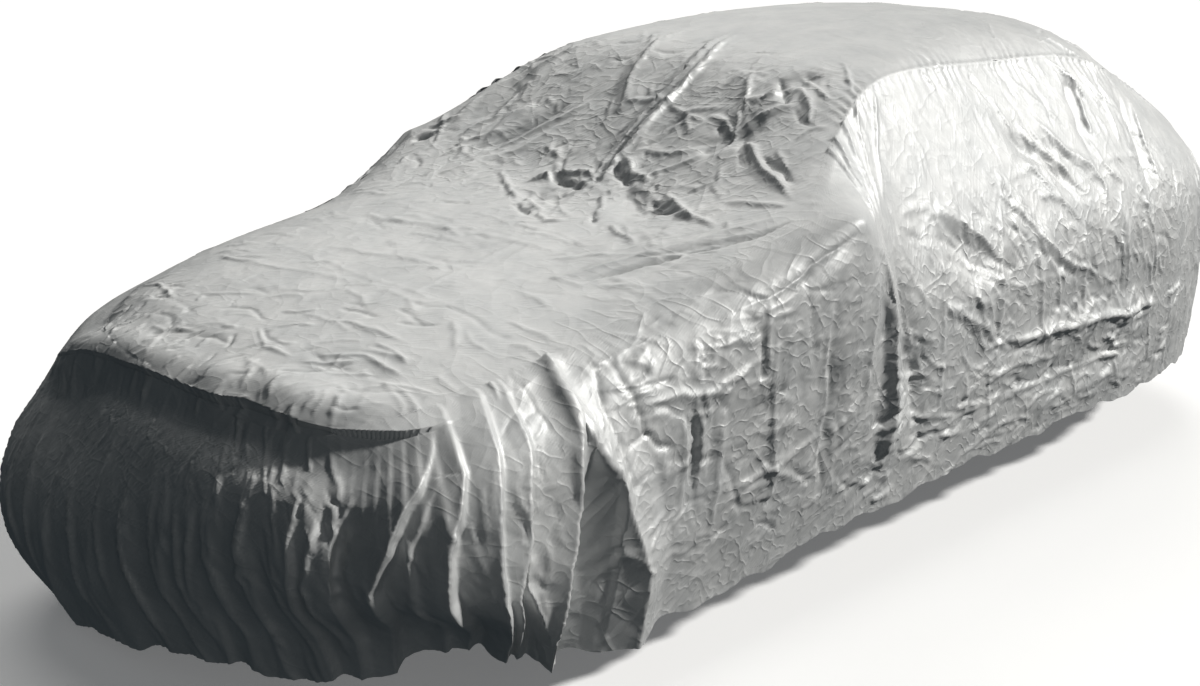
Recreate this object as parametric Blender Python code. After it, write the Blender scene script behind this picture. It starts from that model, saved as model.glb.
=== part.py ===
"""Fitted car cover: a long top panel and two side panels of thin silver-coated cloth, as draped.

Metres, +Z up. The front faces -Y and the left side is at +X. Heights in the tables are over the
ground; the origin is on the inside of the cloth at the middle of its top, where the cover is
carried, so the ground lies below it. A place on a wall is given by round and height: round is the
way along the wall from the middle of the front, positive to the left, and height is over the
ground.
"""

import math

import bmesh
import bpy
import numpy as np

REST_HEIGHT = 1.529  # ground to the point that carries the cloth, inside the middle of its top
THICKNESS = 0.002
SEAM_SETBACK = 0.0003  # how far each panel stops short of the line of the seam
SHARP_ANGLE = math.radians(60.0)
COLOUR = (0.56, 0.57, 0.57, 1.0)
ROUGHNESS = 0.42
METALLIC = 0.55

# Rings round the left half, from the middle of the front to the middle of the back. The same row
# of every ring is one place: x is half the width there, y the station and z the height.
SEAM_RING = (
    (0.00, -2.21, 0.79),
    (0.27, -2.20, 0.79),
    (0.52, -2.12, 0.79),
    (0.66, -1.95, 0.835),
    (0.72, -1.66, 0.90),
    (0.74, -1.20, 0.98),
    (0.73, -0.90, 1.07),
    (0.70, -0.60, 1.305),
    (0.61, -0.28, 1.43),
    (0.57, 0.30, 1.43),
    (0.56, 0.90, 1.405),
    (0.56, 1.38, 1.25),
    (0.54, 1.77, 1.075),
    (0.31, 1.95, 1.035),
    (0.00, 1.99, 1.035),
)
BELT_RING = (
    (0.00, -2.33, 0.66),
    (0.34, -2.31, 0.66),
    (0.62, -2.23, 0.67),
    (0.81, -2.03, 0.71),
    (0.86, -1.66, 0.76),
    (0.87, -1.20, 0.86),
    (0.87, -0.90, 0.91),
    (0.87, -0.60, 0.94),
    (0.87, -0.28, 0.95),
    (0.87, 0.30, 0.96),
    (0.86, 0.90, 0.97),
    (0.81, 1.38, 0.96),
    (0.67, 1.76, 0.92),
    (0.40, 1.98, 0.90),
    (0.00, 2.04, 0.90),
)
WIDE_RING = (
    (0.00, -2.38, 0.38),
    (0.36, -2.36, 0.38),
    (0.65, -2.29, 0.38),
    (0.85, -2.07, 0.40),
    (0.90, -1.66, 0.46),
    (0.91, -1.20, 0.52),
    (0.91, -0.90, 0.55),
    (0.91, -0.60, 0.57),
    (0.91, -0.28, 0.58),
    (0.91, 0.30, 0.59),
    (0.90, 0.90, 0.60),
    (0.86, 1.38, 0.59),
    (0.71, 1.79, 0.57),
    (0.43, 2.04, 0.55),
    (0.00, 2.10, 0.55),
)
HEM_RING = (
    (0.00, -2.29, 0.09),
    (0.34, -2.27, 0.09),
    (0.58, -2.17, 0.10),
    (0.75, -1.94, 0.165),
    (0.86, -1.66, 0.185),
    (0.88, -1.20, 0.22),
    (0.88, -0.90, 0.235),
    (0.88, -0.60, 0.25),
    (0.88, -0.28, 0.26),
    (0.88, 0.30, 0.265),
    (0.88, 0.90, 0.26),
    (0.85, 1.38, 0.26),
    (0.70, 1.77, 0.25),
    (0.41, 1.97, 0.24),
    (0.00, 2.02, 0.24),
)
RINGS = (SEAM_RING, BELT_RING, WIDE_RING, HEM_RING)
# Rows of the rings: where the seams turn down to the hem, and where the front corner ends.
FRONT_CORNER = 2
WING = 4
REAR_CORNER = 12
REAR_MIDDLE = 14
SEAM_CURL = 0.5  # how far the cloth bends in at the seam, and how much of that is in height
SEAM_CURL_RISE = 0.3

# Middle line of the top, y and height, from its front edge to its rear edge.
MIDDLE_LINE = (
    (-2.21, 0.79),
    (-2.06, 0.87),
    (-1.75, 0.95),
    (-1.35, 1.025),
    (-1.08, 1.08),
    (-0.90, 1.14),
    (-0.68, 1.28),
    (-0.42, 1.445),
    (-0.15, 1.51),
    (0.15, 1.545),
    (0.60, 1.55),
    (1.00, 1.51),
    (1.38, 1.345),
    (1.99, 1.035),
)
TOP_ROUNDNESS = 3.9  # how flat the top is across before it turns down to its edges
END_BLEND = 0.12  # share of the top's length that eases into the front and rear edges

# Steps of the grid between its edges.
TOP_COLUMNS = 16
FRONT_SPLIT = 3  # wall columns under each column of the top
REAR_SPLIT = 2
NOSE_ROWS = 20
BODY_ROWS = 46
WALL_LEVELS = 10

# The front of the cover sits askew, pulled forward and down on the right. The lean grows over
# LEAN_RUN towards the front and over a drop in height downwards.
LEAN_FORWARD = 0.13
LEAN_FORWARD_TOP = 0.72
LEAN_FORWARD_DROP = 0.50
LEAN_LIFT = 0.095
LEAN_LIFT_TOP = 0.50
LEAN_LIFT_DROP = 0.35
LEAN_START = -1.55
LEAN_RUN = 0.65
LEAN_HALF_WIDTH = 0.60
LEAN_MOST = 1.2  # of the lean at LEAN_HALF_WIDTH

# Peaks that the cloth is drawn out to, one on each side: foot on the even wall, tip of the peak.
PEAK_REACH = 0.50
PEAK_SHARPNESS = 1.7
PEAK_HANG = 0.6  # the cloth hangs from the tip, so the peak reaches further down than up
PEAKS = (
    ((0.80, -0.86, 1.00), (0.975, -0.83, 1.155)),
    ((-0.80, -0.86, 1.00), (-0.915, -0.84, 1.11)),
)

# Gathers over the front elastic: round at the hem, round and height at the top, width, rise.
GATHER_FOOT = 0.02  # height they run down to, past the hem
GATHERS = (
    (-1.30, -1.22, 0.62, 0.16, 0.014),
    (-1.05, -1.00, 0.58, 0.15, 0.016),
    (-0.82, -0.76, 0.55, 0.14, 0.014),
    (-0.62, -0.54, 0.52, 0.15, 0.013),
    (-0.41, -0.34, 0.45, 0.16, 0.016),
    (-0.18, -0.14, 0.48, 0.15, 0.013),
    (0.06, -0.01, 0.46, 0.15, 0.016),
    (0.26, 0.20, 0.46, 0.13, 0.015),
    (0.44, 0.42, 0.55, 0.13, 0.014),
    (0.63, 0.66, 0.62, 0.10, -0.030),
    (0.70, 0.90, 0.72, 0.09, 0.024),
    (0.79, 0.97, 0.70, 0.08, -0.018),
    (0.88, 1.06, 0.78, 0.09, 0.026),
    (0.98, 1.08, 0.80, 0.09, -0.028),
    (1.07, 1.15, 0.84, 0.09, 0.026),
    (1.16, 1.22, 0.80, 0.09, -0.022),
    (1.25, 1.30, 0.86, 0.10, 0.028),
    (1.41, 1.45, 0.72, 0.13, -0.034),
    (1.54, 1.56, 0.84, 0.12, 0.018),
)
# Folds of the walls: round and height of both ends, width, rise; a rise below 0 is a trough.
SIDE_FOLDS = (
    (1.70, 0.86, 1.69, 0.42, 0.12, -0.018),
    (1.96, 0.98, 1.98, 0.36, 0.14, 0.016),
    (2.08, 1.00, 2.22, 0.34, 0.16, -0.030),
    (2.35, 1.12, 2.58, 0.28, 0.18, 0.034),
    (2.50, 0.98, 2.72, 0.34, 0.20, -0.036),
    (2.72, 1.04, 3.06, 0.84, 0.20, -0.034),
    (2.94, 0.94, 2.98, 0.62, 0.18, 0.020),
    (3.10, 1.02, 3.08, 0.60, 0.17, -0.020),
    (3.34, 1.04, 3.30, 0.64, 0.17, 0.018),
    (3.58, 0.98, 3.59, 0.64, 0.17, -0.020),
    (3.82, 1.04, 3.81, 0.64, 0.17, 0.018),
    (3.00, 0.65, 4.24, 0.58, 0.20, 0.034),
    (2.80, 0.50, 4.20, 0.44, 0.17, -0.022),
    (3.00, 0.38, 4.30, 0.36, 0.17, 0.016),
    (3.24, 1.30, 3.64, 1.00, 0.20, -0.030),
    (3.80, 1.38, 3.74, 1.10, 0.18, -0.026),
    (4.16, 1.32, 4.04, 0.94, 0.18, -0.028),
    (4.60, 0.98, 4.58, 0.34, 0.18, -0.028),
)
# Folds of the top: x and y of both ends, width, rise.
TOP_FOLDS = (
    (-0.02, -0.15, 0.17, -0.98, 0.17, 0.028),
    (-0.30, -0.20, 0.00, -0.76, 0.16, 0.018),
    (-0.50, -1.14, -0.16, -0.68, 0.19, 0.022),
    (-0.06, -1.10, 0.12, -0.98, 0.22, -0.042),
    (0.22, -0.92, 0.46, -1.04, 0.22, -0.044),
    (0.02, -0.88, 0.22, -0.84, 0.18, 0.022),
    (0.28, -0.74, 0.48, -0.60, 0.22, -0.044),
    (0.44, -0.52, 0.50, -0.38, 0.18, -0.034),
    (0.36, -0.56, 0.20, -0.44, 0.17, 0.020),
    (-0.62, -0.86, -0.58, -0.54, 0.22, -0.034),
    (-0.48, -0.92, -0.42, -0.66, 0.18, 0.022),
    (0.62, -1.02, 0.36, -1.34, 0.18, 0.020),
    (0.20, -2.08, 0.60, -1.92, 0.18, -0.014),
    (-0.40, -1.90, 0.10, -1.80, 0.18, 0.008),
    (-0.30, -1.50, 0.30, -1.40, 0.20, -0.007),
    (0.36, 1.04, 0.50, 1.10, 0.18, -0.024),
    (0.30, 1.30, 0.44, 1.60, 0.20, -0.016),
    (-0.34, 1.24, -0.46, 1.56, 0.20, -0.018),
    (-0.10, 1.20, 0.05, 1.70, 0.22, -0.014),
)
FADE_START = 0.20  # share of a fold over which an end fades out
LEVEL_PRESS_HEIGHT = 0.60  # below this the folds of a wall press sideways and not down

# Small gathers over the back elastic.
BACK_GATHER_START = 4.75  # round where they begin
BACK_GATHER_RUN = 0.2
BACK_GATHER_TOP = 0.75
BACK_GATHER_DROP = 0.5
BACK_GATHER_SPACING = 0.133
BACK_GATHER_RISE = 0.012

# How uneven the hem is: waves in radians for each metre, size, start.
HEM_WAVES = (
    (9.0, 0.010, 0.0),
    (23.0, 0.007, 1.0),
    (41.0, 0.005, 2.0),
)
HEM_WAVE_TOP = 0.45
HEM_WAVE_DROP = 0.25


def smooth_step(value):
    value = np.clip(value, 0.0, 1.0)
    return value * value * (3.0 - 2.0 * value)


def curve_between(a, b, c, d, part):
    """Point on the smooth curve from b to c, where a and d are the neighbours."""
    slope = 0.5 * (c - a)
    bend = 0.5 * (2.0 * a - 5.0 * b + 4.0 * c - d)
    twist = 0.5 * (3.0 * b - a - 3.0 * c + d)
    return b + slope * part + bend * part**2 + twist * part**3


def along_rows(rows, places, ends_mirrored):
    """Smooth curve through the rows; a place counts rows. Mirrored ends cross x = 0 squarely."""
    points = np.array(rows, dtype=float)
    before = 2.0 * points[0] - points[1]
    after = 2.0 * points[-1] - points[-2]
    if ends_mirrored:
        flip = np.array((-1.0, 1.0, 1.0))
        before = points[1] * flip
        after = points[-2] * flip
    padded = np.vstack((before, points, after))
    first = np.clip(np.floor(places).astype(int), 0, len(points) - 2)
    part = (places - first)[:, None]
    return curve_between(padded[first], padded[first + 1], padded[first + 2], padded[first + 3], part)


def places_between(start, end, steps):
    return np.linspace(start, end, steps + 1)[:-1]


def half_places():
    """Places of the wall's columns round the left half, and how many lie before each corner."""
    front = places_between(0, FRONT_CORNER, TOP_COLUMNS // 2 * FRONT_SPLIT)
    nose = places_between(FRONT_CORNER, WING, NOSE_ROWS)
    body = places_between(WING, REAR_CORNER, BODY_ROWS)
    rear = np.linspace(REAR_CORNER, REAR_MIDDLE, TOP_COLUMNS // 2 * REAR_SPLIT + 1)
    places = np.concatenate((front, nose, body, rear))
    return places, len(front), len(front) + len(nose) + len(body)


def wall_half(places):
    """Points of the left half of the wall, seam to hem: array of levels, columns, xyz."""
    seam, belt, wide, hem = [along_rows(ring, places, True) for ring in RINGS]
    above = seam + SEAM_CURL * (seam - belt) * np.array((1.0, 1.0, SEAM_CURL_RISE))
    below = 2.0 * hem - wide
    lines = (above, seam, belt, wide, hem, below)
    levels = []
    for depth in np.linspace(0.0, 3.0, WALL_LEVELS + 1):
        first = min(int(depth), 2)
        levels.append(curve_between(*lines[first : first + 4], depth - first))
    return np.array(levels)


def round_of(places):
    """Way along the widest ring from the middle of the front to each place."""
    ring = along_rows(WIDE_RING, places, True)
    steps = np.linalg.norm(np.diff(ring, axis=0), axis=1)
    return np.concatenate(((0.0,), np.cumsum(steps)))


def top_rows(seam_side, front_edge, rear_edge):
    """Points of the left half of the top: array of rows, columns, xyz, columns from the middle out."""
    middle = np.array(MIDDLE_LINE)
    share = (seam_side[:, 1] - seam_side[0, 1]) / (seam_side[-1, 1] - seam_side[0, 1])
    middle_y = middle[0, 0] + share * (middle[-1, 0] - middle[0, 0])
    row_places = np.interp(middle_y, middle[:, 0], np.arange(len(middle)))
    middle_height = along_rows(MIDDLE_LINE, row_places, False)[:, 1]
    out = np.linspace(0.0, 1.0, TOP_COLUMNS // 2 + 1)
    crown = 1.0 - out**TOP_ROUNDNESS
    top = np.zeros((len(seam_side), len(out), 3))
    top[:, :, 0] = seam_side[:, None, 0] * out
    top[:, :, 1] = seam_side[:, None, 1] + (middle_y - seam_side[:, 1])[:, None] * crown
    top[:, :, 2] = seam_side[:, None, 2] + (middle_height - seam_side[:, 2])[:, None] * crown
    ease = np.clip(1.0 - np.linspace(0.0, 1.0, len(top)) / END_BLEND, 0.0, 1.0) ** 2
    to_front = front_edge - top[0]
    to_rear = rear_edge - top[-1]
    top += to_front * ease[:, None, None]
    top += to_rear * ease[::-1, None, None]
    return top


def leaned(points):
    """The front end pulled askew."""
    x, y, z = points.T
    askew = np.clip(x / LEAN_HALF_WIDTH, -LEAN_MOST, LEAN_MOST)
    askew = askew * smooth_step((LEAN_START - y) / LEAN_RUN)
    moved = points.copy()
    moved[:, 1] += LEAN_FORWARD * askew * smooth_step((LEAN_FORWARD_TOP - z) / LEAN_FORWARD_DROP)
    moved[:, 2] += LEAN_LIFT * askew * smooth_step((LEAN_LIFT_TOP - z) / LEAN_LIFT_DROP)
    return moved


def peaked(points):
    """The cloth drawn out to a peak on each side."""
    moved = points.copy()
    for foot, tip in PEAKS:
        foot = np.array(foot)
        way = points - foot
        way[:, 2] *= np.where(way[:, 2] < 0.0, PEAK_HANG, 1.0)
        near = np.clip(1.0 - np.linalg.norm(way, axis=1) / PEAK_REACH, 0.0, 1.0)
        moved += near[:, None] ** PEAK_SHARPNESS * (np.array(tip) - foot)
    return moved


def fold_rise(places, start, end, width, rise, open_start=False):
    """Rise of one fold at every place: a soft ridge from start to end that fades out at its ends."""
    start = np.array(start)
    way = np.array(end) - start
    part = np.clip((places - start) @ way / (way @ way), 0.0, 1.0)
    nearest = start + part[:, None] * way
    off = np.linalg.norm(places - nearest, axis=1) / (0.5 * width)
    across = np.where(off < 1.0, 0.5 + 0.5 * np.cos(np.pi * np.clip(off, 0.0, 1.0)), 0.0)
    lengthways = smooth_step((1.0 - part) / FADE_START)
    if not open_start:
        lengthways = lengthways * smooth_step(part / FADE_START)
    return rise * across * lengthways


def wall_rise(places):
    """Rise of the wall's folds at (round, height) places of both sides."""
    total = np.zeros(len(places))
    for hem_round, top_round, top_height, width, rise in GATHERS:
        foot = (hem_round, GATHER_FOOT)
        total += fold_rise(places, foot, (top_round, top_height), width, rise, True)
    for side in (1.0, -1.0):
        turned = places * np.array((side, 1.0))
        for round_a, height_a, round_b, height_b, width, rise in SIDE_FOLDS:
            total += fold_rise(turned, (round_a, height_a), (round_b, height_b), width, rise)
    reach = np.abs(places[:, 0])
    low = smooth_step((BACK_GATHER_TOP - places[:, 1]) / BACK_GATHER_DROP)
    back = low * smooth_step((reach - BACK_GATHER_START) / BACK_GATHER_RUN)
    total += BACK_GATHER_RISE * back * np.cos(2.0 * np.pi * reach / BACK_GATHER_SPACING)
    return total


def top_rise(places):
    """Rise of the top's folds at (x, y) places."""
    total = np.zeros(len(places))
    for x_a, y_a, x_b, y_b, width, rise in TOP_FOLDS:
        total += fold_rise(places, (x_a, y_a), (x_b, y_b), width, rise)
    return total


class Net:
    """The whole surface as one net of shared points, with the faces of each panel."""

    def __init__(self):
        self.points = []
        self.cloth_places = []
        self.faces = {"top_panel": [], "side_panel_left": [], "side_panel_right": []}
        self.on_wall = []

    def add(self, point, place, on_wall):
        self.points.append(point)
        self.cloth_places.append(place)
        self.on_wall.append(on_wall)
        return len(self.points) - 1


def wall_ids(net, wall, rounds):
    """Adds the wall of both halves; gives the point numbers as levels by columns, right to left."""
    levels, columns, _ = wall.shape
    ids = np.zeros((levels, 2 * columns - 2), dtype=int)
    flip = np.array((-1.0, 1.0, 1.0))
    for level in range(levels):
        for column in range(columns):
            point = wall[level, column]
            place = (rounds[column], point[2])
            ids[level, column] = net.add(point, place, True)
            if 0 < column < columns - 1:
                opposite = (-rounds[column], point[2])
                ids[level, -column] = net.add(point * flip, opposite, True)
    return ids


def top_ids(net, top, seam_ids, front_corner, rear_corner):
    """Adds the inside of the top; gives point numbers as rows by columns, right to left."""
    rows, half, _ = top.shape
    ids = np.zeros((rows, 2 * half - 1), dtype=int)
    for row in range(rows):
        column_ids = [0] * (2 * half - 1)
        for column in range(half):
            if row in (0, rows - 1) or column == half - 1:
                continue
            point = top[row, column]
            column_ids[half - 1 + column] = net.add(point, tuple(point[:2]), False)
            if column:
                mirror = point * np.array((-1.0, 1.0, 1.0))
                column_ids[half - 1 - column] = net.add(mirror, tuple(mirror[:2]), False)
        column_ids[-1] = seam_ids[front_corner + row]
        column_ids[0] = seam_ids[-(front_corner + row)]
        ids[row] = column_ids
    for column in range(2 * half - 1):
        across = column - (half - 1)
        ids[0, column] = seam_ids[across * FRONT_SPLIT]
        ids[-1, column] = seam_ids[rear_middle(seam_ids) - across * REAR_SPLIT]
    return ids


def rear_middle(seam_ids):
    return len(seam_ids) // 2


def edge_run(seam_ids, start, end):
    """Point numbers of the seam ring from start to end, in either direction."""
    step = 1 if end >= start else -1
    return [int(seam_ids[index % len(seam_ids)]) for index in range(start, end + step, step)]


def cloth_net():
    places, front_corner, rear_corner = half_places()
    wall = wall_half(places)
    net = Net()
    ids = wall_ids(net, wall, round_of(places))
    seam_ids = ids[0]
    rear = len(places) - 1
    front_edge = wall[0, : front_corner + 1 : FRONT_SPLIT]
    rear_edge = wall[0, rear_corner :: REAR_SPLIT][::-1]
    top = top_rows(wall[0, front_corner : rear_corner + 1], front_edge, rear_edge)
    top_net = top_ids(net, top, seam_ids, front_corner, rear_corner)
    faces = net.faces
    rows, columns = top_net.shape
    for row in range(rows - 1):
        for column in range(columns - 1):
            near = [int(top_net[row, column]), int(top_net[row, column + 1])]
            far = [int(top_net[row + 1, column + 1]), int(top_net[row + 1, column])]
            across = column - TOP_COLUMNS // 2
            if row == 0:
                near = edge_run(seam_ids, across * FRONT_SPLIT, (across + 1) * FRONT_SPLIT)
            if row == rows - 2:
                far = edge_run(seam_ids, rear - (across + 1) * REAR_SPLIT, rear - across * REAR_SPLIT)
            faces["top_panel"].append(near + far)
    count = len(seam_ids)
    for column in range(count):
        after = (column + 1) % count
        if column < front_corner or column >= count - front_corner:
            panel = "top_panel"
        elif column < rear_corner:
            panel = "side_panel_left"
        elif column < count - rear_corner:
            panel = "top_panel"
        else:
            panel = "side_panel_right"
        for level in range(len(ids) - 1):
            upper = [int(ids[level, after]), int(ids[level, column])]
            lower = [int(ids[level + 1, column]), int(ids[level + 1, after])]
            faces[panel].append(lower + upper)
    return net


def outward_normals(points, faces):
    """Unit normals of the net's points, from the faces round each."""
    normals = np.zeros_like(points)
    for face in faces:
        corner = points[face]
        centre = corner.mean(axis=0)
        turned = np.cross(corner - centre, np.roll(corner, -1, axis=0) - centre).sum(axis=0)
        normals[face] += turned
    return normals / np.linalg.norm(normals, axis=1)[:, None]


def hem_wave(points, places, on_wall):
    """Small unevenness of the hem, along its length."""
    low = smooth_step((HEM_WAVE_TOP - points[:, 2]) / HEM_WAVE_DROP) * on_wall
    moved = points.copy()
    for waves, size, start in HEM_WAVES:
        moved[:, 2] += size * low * np.sin(waves * places[:, 0] + start)
    return moved


def draped_points(net):
    """The net's points with the lean, the two peaks and the folds."""
    points = np.array(net.points)
    places = np.array(net.cloth_places)
    on_wall = np.array(net.on_wall)
    all_faces = [face for panel in net.faces.values() for face in panel]
    points = peaked(leaned(points))
    points = hem_wave(points, places, on_wall)
    normals = outward_normals(points, all_faces)
    wall_places = np.column_stack((places[:, 0], points[:, 2]))
    rise = np.where(on_wall, wall_rise(wall_places), top_rise(points[:, :2]))
    sideways = np.where(on_wall, smooth_step(points[:, 2] / LEVEL_PRESS_HEIGHT), 1.0)
    normals[:, 2] *= sideways
    points = points + normals * rise[:, None]
    return points, outward_normals(points, all_faces)


def edges_once(faces):
    """The panel's boundary edges, in the direction its faces run."""
    seen = {}
    for face in faces:
        for index, start in enumerate(face):
            end = face[(index + 1) % len(face)]
            seen[(start, end)] = True
    return [edge for edge in seen if (edge[1], edge[0]) not in seen]


def seam_shift(points, faces, edges):
    """The setback of each boundary point, towards the inside of its panel."""
    border = {point for edge in edges for point in edge}
    inner = {point: [] for point in border}
    for face in faces:
        for point in face:
            if point in border:
                inner[point].extend(other for other in face if other not in border)
    for face in faces:
        for point in face:
            if point in border and not inner[point]:
                inner[point].extend(face)
    shift = {}
    for point in border:
        way = points[inner[point]].mean(axis=0) - points[point]
        shift[point] = way / np.linalg.norm(way) * SEAM_SETBACK
    return shift


def cloth_material(name):
    material = bpy.data.materials.new(name)
    material.use_nodes = True
    shader = material.node_tree.nodes["Principled BSDF"]
    shader.inputs["Base Color"].default_value = COLOUR
    shader.inputs["Roughness"].default_value = ROUGHNESS
    shader.inputs["Metallic"].default_value = METALLIC
    return material


def triangles_of(faces, points):
    """The faces cut into triangles once, so that both sides of a sheet bend along the same lines."""
    surface = bmesh.new()
    corners = [surface.verts.new(point) for point in points]
    surface.verts.index_update()
    for face in faces:
        surface.faces.new([corners[point] for point in face])
    bmesh.ops.triangulate(surface, faces=surface.faces[:], quad_method="SHORT_EDGE")
    triangles = [[corner.index for corner in face.verts] for face in surface.faces]
    surface.free()
    return triangles


def make_panel(name, faces, points, normals):
    """One panel as a closed sheet: its outer face, its inner face and the edge between them."""
    faces = triangles_of(faces, points)
    used = sorted({point for face in faces for point in face})
    number = {point: index for index, point in enumerate(used)}
    edges = edges_once(faces)
    shift = seam_shift(points, faces, edges)
    outer = [points[point] + shift.get(point, 0.0) for point in used]
    inner = [place - normals[point] * THICKNESS for place, point in zip(outer, used)]
    vertices = np.array(outer + inner)
    vertices[:, 2] -= REST_HEIGHT
    layer = len(used)
    polygons = [[number[point] for point in face] for face in faces]
    polygons += [[layer + number[point] for point in reversed(face)] for face in faces]
    for start, end in edges:
        a, b = number[start], number[end]
        polygons.append([b, a, layer + a, layer + b])
    mesh = bpy.data.meshes.new(name)
    mesh.from_pydata(vertices.tolist(), [], polygons)
    mesh.validate()
    mesh.shade_smooth()
    mesh.set_sharp_from_angle(angle=SHARP_ANGLE)
    mesh.materials.append(cloth_material(name + "_cloth"))
    panel = bpy.data.objects.new(name, mesh)
    bpy.context.scene.collection.objects.link(panel)
    return panel


def main():
    for old in list(bpy.data.objects):
        bpy.data.objects.remove(old)
    net = cloth_net()
    points, normals = draped_points(net)
    for name, faces in net.faces.items():
        make_panel(name, faces, points, normals)


main()
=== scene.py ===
"""Car cover of silver-coated cloth, dressed: three panels with their folds, creases, seams and hem.

Metres, +Z up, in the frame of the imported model. Heights in the tables are over the ground. A place
on a wall is given by round and height, where round is the way along the wall from the middle of
the front, positive to the left; a place on the top is given by x and y.
"""

import math

import bpy
import numpy as np
from mathutils import Matrix, Vector


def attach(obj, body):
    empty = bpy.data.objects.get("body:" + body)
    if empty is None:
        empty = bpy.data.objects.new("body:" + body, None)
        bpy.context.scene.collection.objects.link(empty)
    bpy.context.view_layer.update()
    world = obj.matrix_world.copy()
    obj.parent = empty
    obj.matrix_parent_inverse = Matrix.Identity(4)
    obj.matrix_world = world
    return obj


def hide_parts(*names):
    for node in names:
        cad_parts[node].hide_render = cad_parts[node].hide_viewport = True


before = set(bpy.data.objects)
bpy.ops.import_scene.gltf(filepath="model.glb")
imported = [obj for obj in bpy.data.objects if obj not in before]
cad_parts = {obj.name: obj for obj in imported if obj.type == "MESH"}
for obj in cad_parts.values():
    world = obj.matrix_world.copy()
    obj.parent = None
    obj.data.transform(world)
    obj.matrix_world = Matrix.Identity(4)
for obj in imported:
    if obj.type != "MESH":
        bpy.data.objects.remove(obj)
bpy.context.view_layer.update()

bl_info = {
    "name": "Car cover",
    "version": (1, 0, 0),
    "blender": (4, 5, 0),
    "location": "3D View > Sidebar > Cover",
    "description": "Builds a draped cover of silver-coated cloth, panel by panel",
    "category": "Add Mesh",
}

REST_HEIGHT = 1.529  # ground to the point that carries the cloth, inside the middle of its top

# Rings round the left half, from the middle of the front to the middle of the back. The same row
# of every ring is one place: x is half the width there, y the station and z the height.
SEAM_RING = (
    (0.00, -2.21, 0.79),
    (0.27, -2.20, 0.79),
    (0.52, -2.12, 0.79),
    (0.66, -1.95, 0.835),
    (0.72, -1.66, 0.90),
    (0.74, -1.20, 0.98),
    (0.73, -0.90, 1.07),
    (0.70, -0.60, 1.305),
    (0.61, -0.28, 1.43),
    (0.57, 0.30, 1.43),
    (0.56, 0.90, 1.405),
    (0.56, 1.38, 1.25),
    (0.54, 1.77, 1.075),
    (0.31, 1.95, 1.035),
    (0.00, 1.99, 1.035),
)
BELT_RING = (
    (0.00, -2.33, 0.66),
    (0.34, -2.31, 0.66),
    (0.62, -2.23, 0.67),
    (0.81, -2.03, 0.71),
    (0.86, -1.66, 0.76),
    (0.87, -1.20, 0.86),
    (0.87, -0.90, 0.91),
    (0.87, -0.60, 0.94),
    (0.87, -0.28, 0.95),
    (0.87, 0.30, 0.96),
    (0.86, 0.90, 0.97),
    (0.81, 1.38, 0.96),
    (0.67, 1.76, 0.92),
    (0.40, 1.98, 0.90),
    (0.00, 2.04, 0.90),
)
WIDE_RING = (
    (0.00, -2.38, 0.38),
    (0.36, -2.36, 0.38),
    (0.65, -2.29, 0.38),
    (0.85, -2.07, 0.40),
    (0.90, -1.66, 0.46),
    (0.91, -1.20, 0.52),
    (0.91, -0.90, 0.55),
    (0.91, -0.60, 0.57),
    (0.91, -0.28, 0.58),
    (0.91, 0.30, 0.59),
    (0.90, 0.90, 0.60),
    (0.86, 1.38, 0.59),
    (0.71, 1.79, 0.57),
    (0.43, 2.04, 0.55),
    (0.00, 2.10, 0.55),
)
HEM_RING = (
    (0.00, -2.29, 0.09),
    (0.34, -2.27, 0.09),
    (0.58, -2.17, 0.10),
    (0.75, -1.94, 0.165),
    (0.86, -1.66, 0.185),
    (0.88, -1.20, 0.22),
    (0.88, -0.90, 0.235),
    (0.88, -0.60, 0.25),
    (0.88, -0.28, 0.26),
    (0.88, 0.30, 0.265),
    (0.88, 0.90, 0.26),
    (0.85, 1.38, 0.26),
    (0.70, 1.77, 0.25),
    (0.41, 1.97, 0.24),
    (0.00, 2.02, 0.24),
)
RINGS = (SEAM_RING, BELT_RING, WIDE_RING, HEM_RING)
# Rows of the rings: where the seams turn down to the hem, and the middle of the back.
FRONT_CORNER = 2
REAR_CORNER = 12
REAR_MIDDLE = 14
SEAM_CURL = 0.5  # how far the cloth bends in at the seam
SEAM_CURL_RISE = 0.3  # and how much of that is in height
RING_STEPS = 4000  # into which a ring is cut to measure along it
MIRRORED = np.array((-1.0, 1.0, 1.0))

# Middle line of the top, y and height, from its front edge to its rear edge.
MIDDLE_LINE = (
    (-2.21, 0.79),
    (-2.06, 0.87),
    (-1.75, 0.95),
    (-1.35, 1.025),
    (-1.08, 1.08),
    (-0.90, 1.14),
    (-0.68, 1.28),
    (-0.42, 1.445),
    (-0.15, 1.51),
    (0.15, 1.545),
    (0.60, 1.55),
    (1.00, 1.51),
    (1.38, 1.345),
    (1.99, 1.035),
)
MIDDLE_EVENING = 120  # rounds of evening out
TOP_ROUNDNESS = 3.9  # how flat the top is across before it turns down to its edges
FRONT_BLEND = 0.8  # rows of the rings over which the top eases into its front and rear edges
REAR_BLEND = 1.38

# The front of the cover sits askew, pulled forward and down on the right. Each move comes in below
# its top height, over its drop, and both come in forward of one y, over one run.
LEAN_FORWARD = 0.13
LEAN_FORWARD_TOP = 0.72
LEAN_FORWARD_DROP = 0.50
LEAN_LIFT = 0.095
LEAN_LIFT_TOP = 0.50
LEAN_LIFT_DROP = 0.35
LEAN_START = -1.55
LEAN_RUN = 0.65
LEAN_HALF_WIDTH = 0.60
LEAN_MOST = 1.2  # of the lean at LEAN_HALF_WIDTH

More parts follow.
